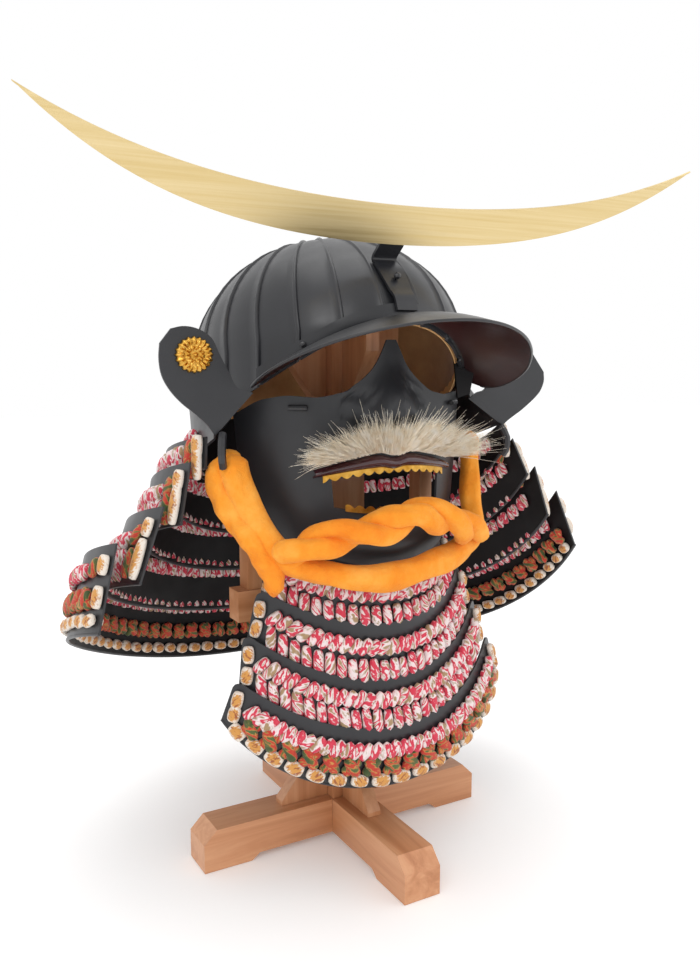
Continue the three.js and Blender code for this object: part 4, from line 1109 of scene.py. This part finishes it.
finish_mesh("moustache_core", v, f, [hair_mat], None, None, ())

# ---------------------------------------------------------------- chin cord
CORD_R = 11.3
CORD_UNDER = [(-131.8, -56.5, 381), (-126, -60, 356), (-114, -76, 322), (-100, -92, 298),
              (-62, -109, 284), (-18, -118, 279), (28, -113, 284), (72, -96, 291), (96, -80, 306),
              (103, -66, 330), (107, -58, 362), (112, -50, 390)]
CORD_ACROSS = [(-108, -94, 298), (-84, -115, 314), (-54, -126, 321), (-22, -133, 327),
               (2, -133, 334), (26, -130, 326), (58, -117, 314), (88, -95, 304)]
CORD_TAIL = [(-122, -50, 382), (-138, -46, 362), (-132, -56, 336), (-120, -76, 310),
             (-110, -88, 288), (-107, -84, 266)]
STRAND_R = 9.2
STRAND_ORBIT = 6.2
STRAND_TURNS = 2.4


def lumpy(r, seed, ends_soft):
    """Radius of a soft plush cord, closed over the share ends_soft at both ends."""
    def radius(f, a):
        lump = 0.05 * math.sin(f * 31 + seed) + 0.04 * math.sin(f * 53 + 2 * a + seed * 3)
        lump += 0.05 * math.sin(2 * a + f * 13 + seed)
        crease = abs(math.sin(a - f * 7 + seed)) ** 14
        lump += 0.03 * math.sin(5 * a - f * 23) - 0.12 * crease
        soft = min(1, math.sqrt(min(f, 1 - f) / ends_soft)) if min(f, 1 - f) < ends_soft else 1
        return max(r * (1 + lump) * max(soft, 0.15), 0.5)
    return radius


def under(f, a):
    return under_lumps(f, a) * (1 - 0.16 * min(1, max(0, (f - 0.72) / 0.1)))


def tail(f, a):
    return tail_lumps(f, a) * (1 - 0.45 * max(0, (f - 0.72) / 0.28) ** 1.5)


under_lumps, tail_lumps = lumpy(CORD_R, 0.4, 0.02), lumpy(CORD_R, 2.2, 0.06)
across = catmull(CORD_ACROSS, 120)
side1, side2 = frames(across)
cords = [tube(catmull(CORD_UNDER, 180), under, 24)]
for phase in (0, math.pi):
    path = []
    for i in range(121):
        turn = phase + 2 * math.pi * STRAND_TURNS * i / 120
        path.append(across[i] + (side1[i] * math.cos(turn) + side2[i] * math.sin(turn)) * STRAND_ORBIT)
    cords.append(tube(np.array(path), lumpy(STRAND_R, 1.3 + phase, 0.03), 22))
cords.append(tube(catmull(CORD_TAIL, 100), tail, 24))
verts, faces, index = joined([(v, f, 0) for v, f in cords])
finish_mesh("plush_cord", verts, faces, [plush_mat], index, None, ("chin_cord",))

# ---------------------------------------------------------------- crest
CREST = dict(half=300, y=-106, z=579, lean=26, rise=55, width=32, top2=0.69, low2=0.57)
le = CREST["lean"] * RAD
crest_up = np.array([0, -math.sin(le), math.cos(le)])
crest_out = np.array([0, -math.cos(le), -math.sin(le)])


def crest_at(x, h, out):
    return np.array([x, CREST["y"], CREST["z"]]) + crest_up * h + crest_out * out


cols = []
for i in range(161):
    u = -1 + i / 80
    hi = CREST["rise"] * (CREST["top2"] * u * u + (1 - CREST["top2"]) * u ** 4)
    bow = CREST["low2"] * u * u + (1 - CREST["low2"]) * u ** 4
    lo = -CREST["width"] + (CREST["rise"] + CREST["width"]) * bow
    if abs(u) == 1:
        lo -= 0.8
    cols.append([crest_at(CREST["half"] * u, lo + (hi - lo) * f, 0) for f in (0, 0.04, 0.35, 0.65, 0.96, 1)])
sheet("crescent_plate", np.array(cols), 0.8, 0.8, [crest_mat], replaces=("crescent",))

# Bracket that carries the crescent, bent over the visor's flange
STRIP_T = 2.4
LAT_OVER = [(3, 6.3), (9, 6.0), (13, 3.4), (18, 2.2), (25, 2.0), (31, 2.0)]
bracket = [bowl_point(0, lat, over) for lat, over in LAT_OVER]
bracket += [crest_at(0, -CREST["width"] + 1, -2.3), crest_at(0, -8, -2.3)]
mid = catmull(bracket, 60)
cols = []
for u in (-1, -0.94, -0.5, 0, 0.5, 0.94, 1):
    col = []
    for i, q in enumerate(mid):
        f = i / 60
        half = 9.6 + 1.9 * min(1, max(0, (f - 0.12) / 0.2)) + 0.6 * bell((f - 0.42) / 0.12)
        col.append([half * u, q[1], q[2]])
    cols.append(col)
sheet("bracket_strip", np.array(cols), STRIP_T / 2, STRIP_T / 2, [bowl_mat], replaces=("crest_bracket",))

# Temple: the lined edge between the bowl's rim and the flap, on the left (x and z of both ends)
TEMPLE_Y = -66
TEMPLE = [(79.2, 97.0, 464.8, 463.0), (81.7, 101.8, 454.1, 454.0), (83.0, 103.1, 442.5, 443.2),
          (85.7, 99.1, 421.8, 425.1)]
temple = [[[xa + (xb - xa) * f, TEMPLE_Y, za + (zb - za) * f] for xa, xb, za, zb in TEMPLE]
          for f in (0, 0.25, 0.5, 0.75, 1)]
sheet("temple_edge", np.array(temple), 1, 1, [inner_mat])

# Medallions: a rayed flower in low relief, turned a little to the side
RINGS, RAYS = 26, 192
MEDALLION_Y = FLAP_Y - LAME_T / 2 - GAP
FACE_ON = (0.94, 0.86)


def flower_point(cx, cz, f, a, lift):
    r = (16.0 + 0.7 * math.cos(20 * a)) * f
    return (cx + FACE_ON[0] * r * math.cos(a), MEDALLION_Y - lift, cz + FACE_ON[1] * r * math.sin(a))


def relief(f, a):
    """Height of the flower at the share f of its radius, in the direction a."""
    petals = abs(math.cos(10 * a)) ** 0.6 * bell((f - 0.72) / 0.26)
    inner_ring = abs(math.cos(6 * a + 2.4 * f)) ** 0.7 * bell((f - 0.40) / 0.17)
    veins = 0.22 * math.cos(36 * a) * bell((f - 0.72) / 0.24) + 0.18 * math.sin(17 * a + 19 * f)
    lift = 2.3 + 1.7 * petals + 1.9 * inner_ring + 2.3 * bell(f / 0.2) + veins * min(1, 3 * f)
    return max(lift - 1.5 * max(0, f - 0.93) / 0.07, 0.2)


turns = [2 * math.pi * k / RAYS for k in range(RAYS)]
for side, cx, cz in (("right", -162, 461), ("left", 154, 457.5)):
    shares = [i / RINGS for i in range(RINGS + 1)]
    verts = [flower_point(cx, cz, f, a, relief(f, a)) for f in shares for a in turns]
    verts += [flower_point(cx, cz, 1, a, 0) for a in turns]
    faces = ring_faces(RINGS + 1, RAYS)
    base = (RINGS + 1) * RAYS
    faces.append(tuple(reversed(range(base, base + RAYS))))
    finish_mesh("medallion_" + side, verts, faces, [gold_mat], None, 0.9, ("flap_medallion_" + side,))

# ---------------------------------------------------------------- carried-over nodes
looks = {
    "crest_rivet": steel_mat, "visor_rivet": steel_mat, "mask_toggle": steel_mat, "cord_hook": steel_mat,
    "foot_bar_side": wood_x, "foot_bar_front": wood_y, "post": wood_z, "foot_fin": wood_z,
    "head_fin": wood_z, "arm_": wood_x, "cheek_rest": wood_z,
}
for node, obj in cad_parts.items():
    for start, m in looks.items():
        if node.startswith(start):
            obj.data.materials.clear()
            obj.data.materials.append(m)

# ---------------------------------------------------------------- floor
mesh = bpy.data.meshes.new("floor")
FLOOR = 6
corners = [(x * FLOOR, y * FLOOR, 0) for x, y in ((-1, -1), (1, -1), (1, 1), (-1, 1))]
mesh.from_pydata(corners, [], [(0, 1, 2, 3)])
floor_mat = material("floor", (0.94, 0.94, 0.94), 0.95, Emission_Color=(1, 1, 1, 1), Emission_Strength=0.10)
mesh.materials.append(floor_mat)
floor = bpy.data.objects.new("floor", mesh)
bpy.context.scene.collection.objects.link(floor)
floor.location = (0, 0, -0.0005)
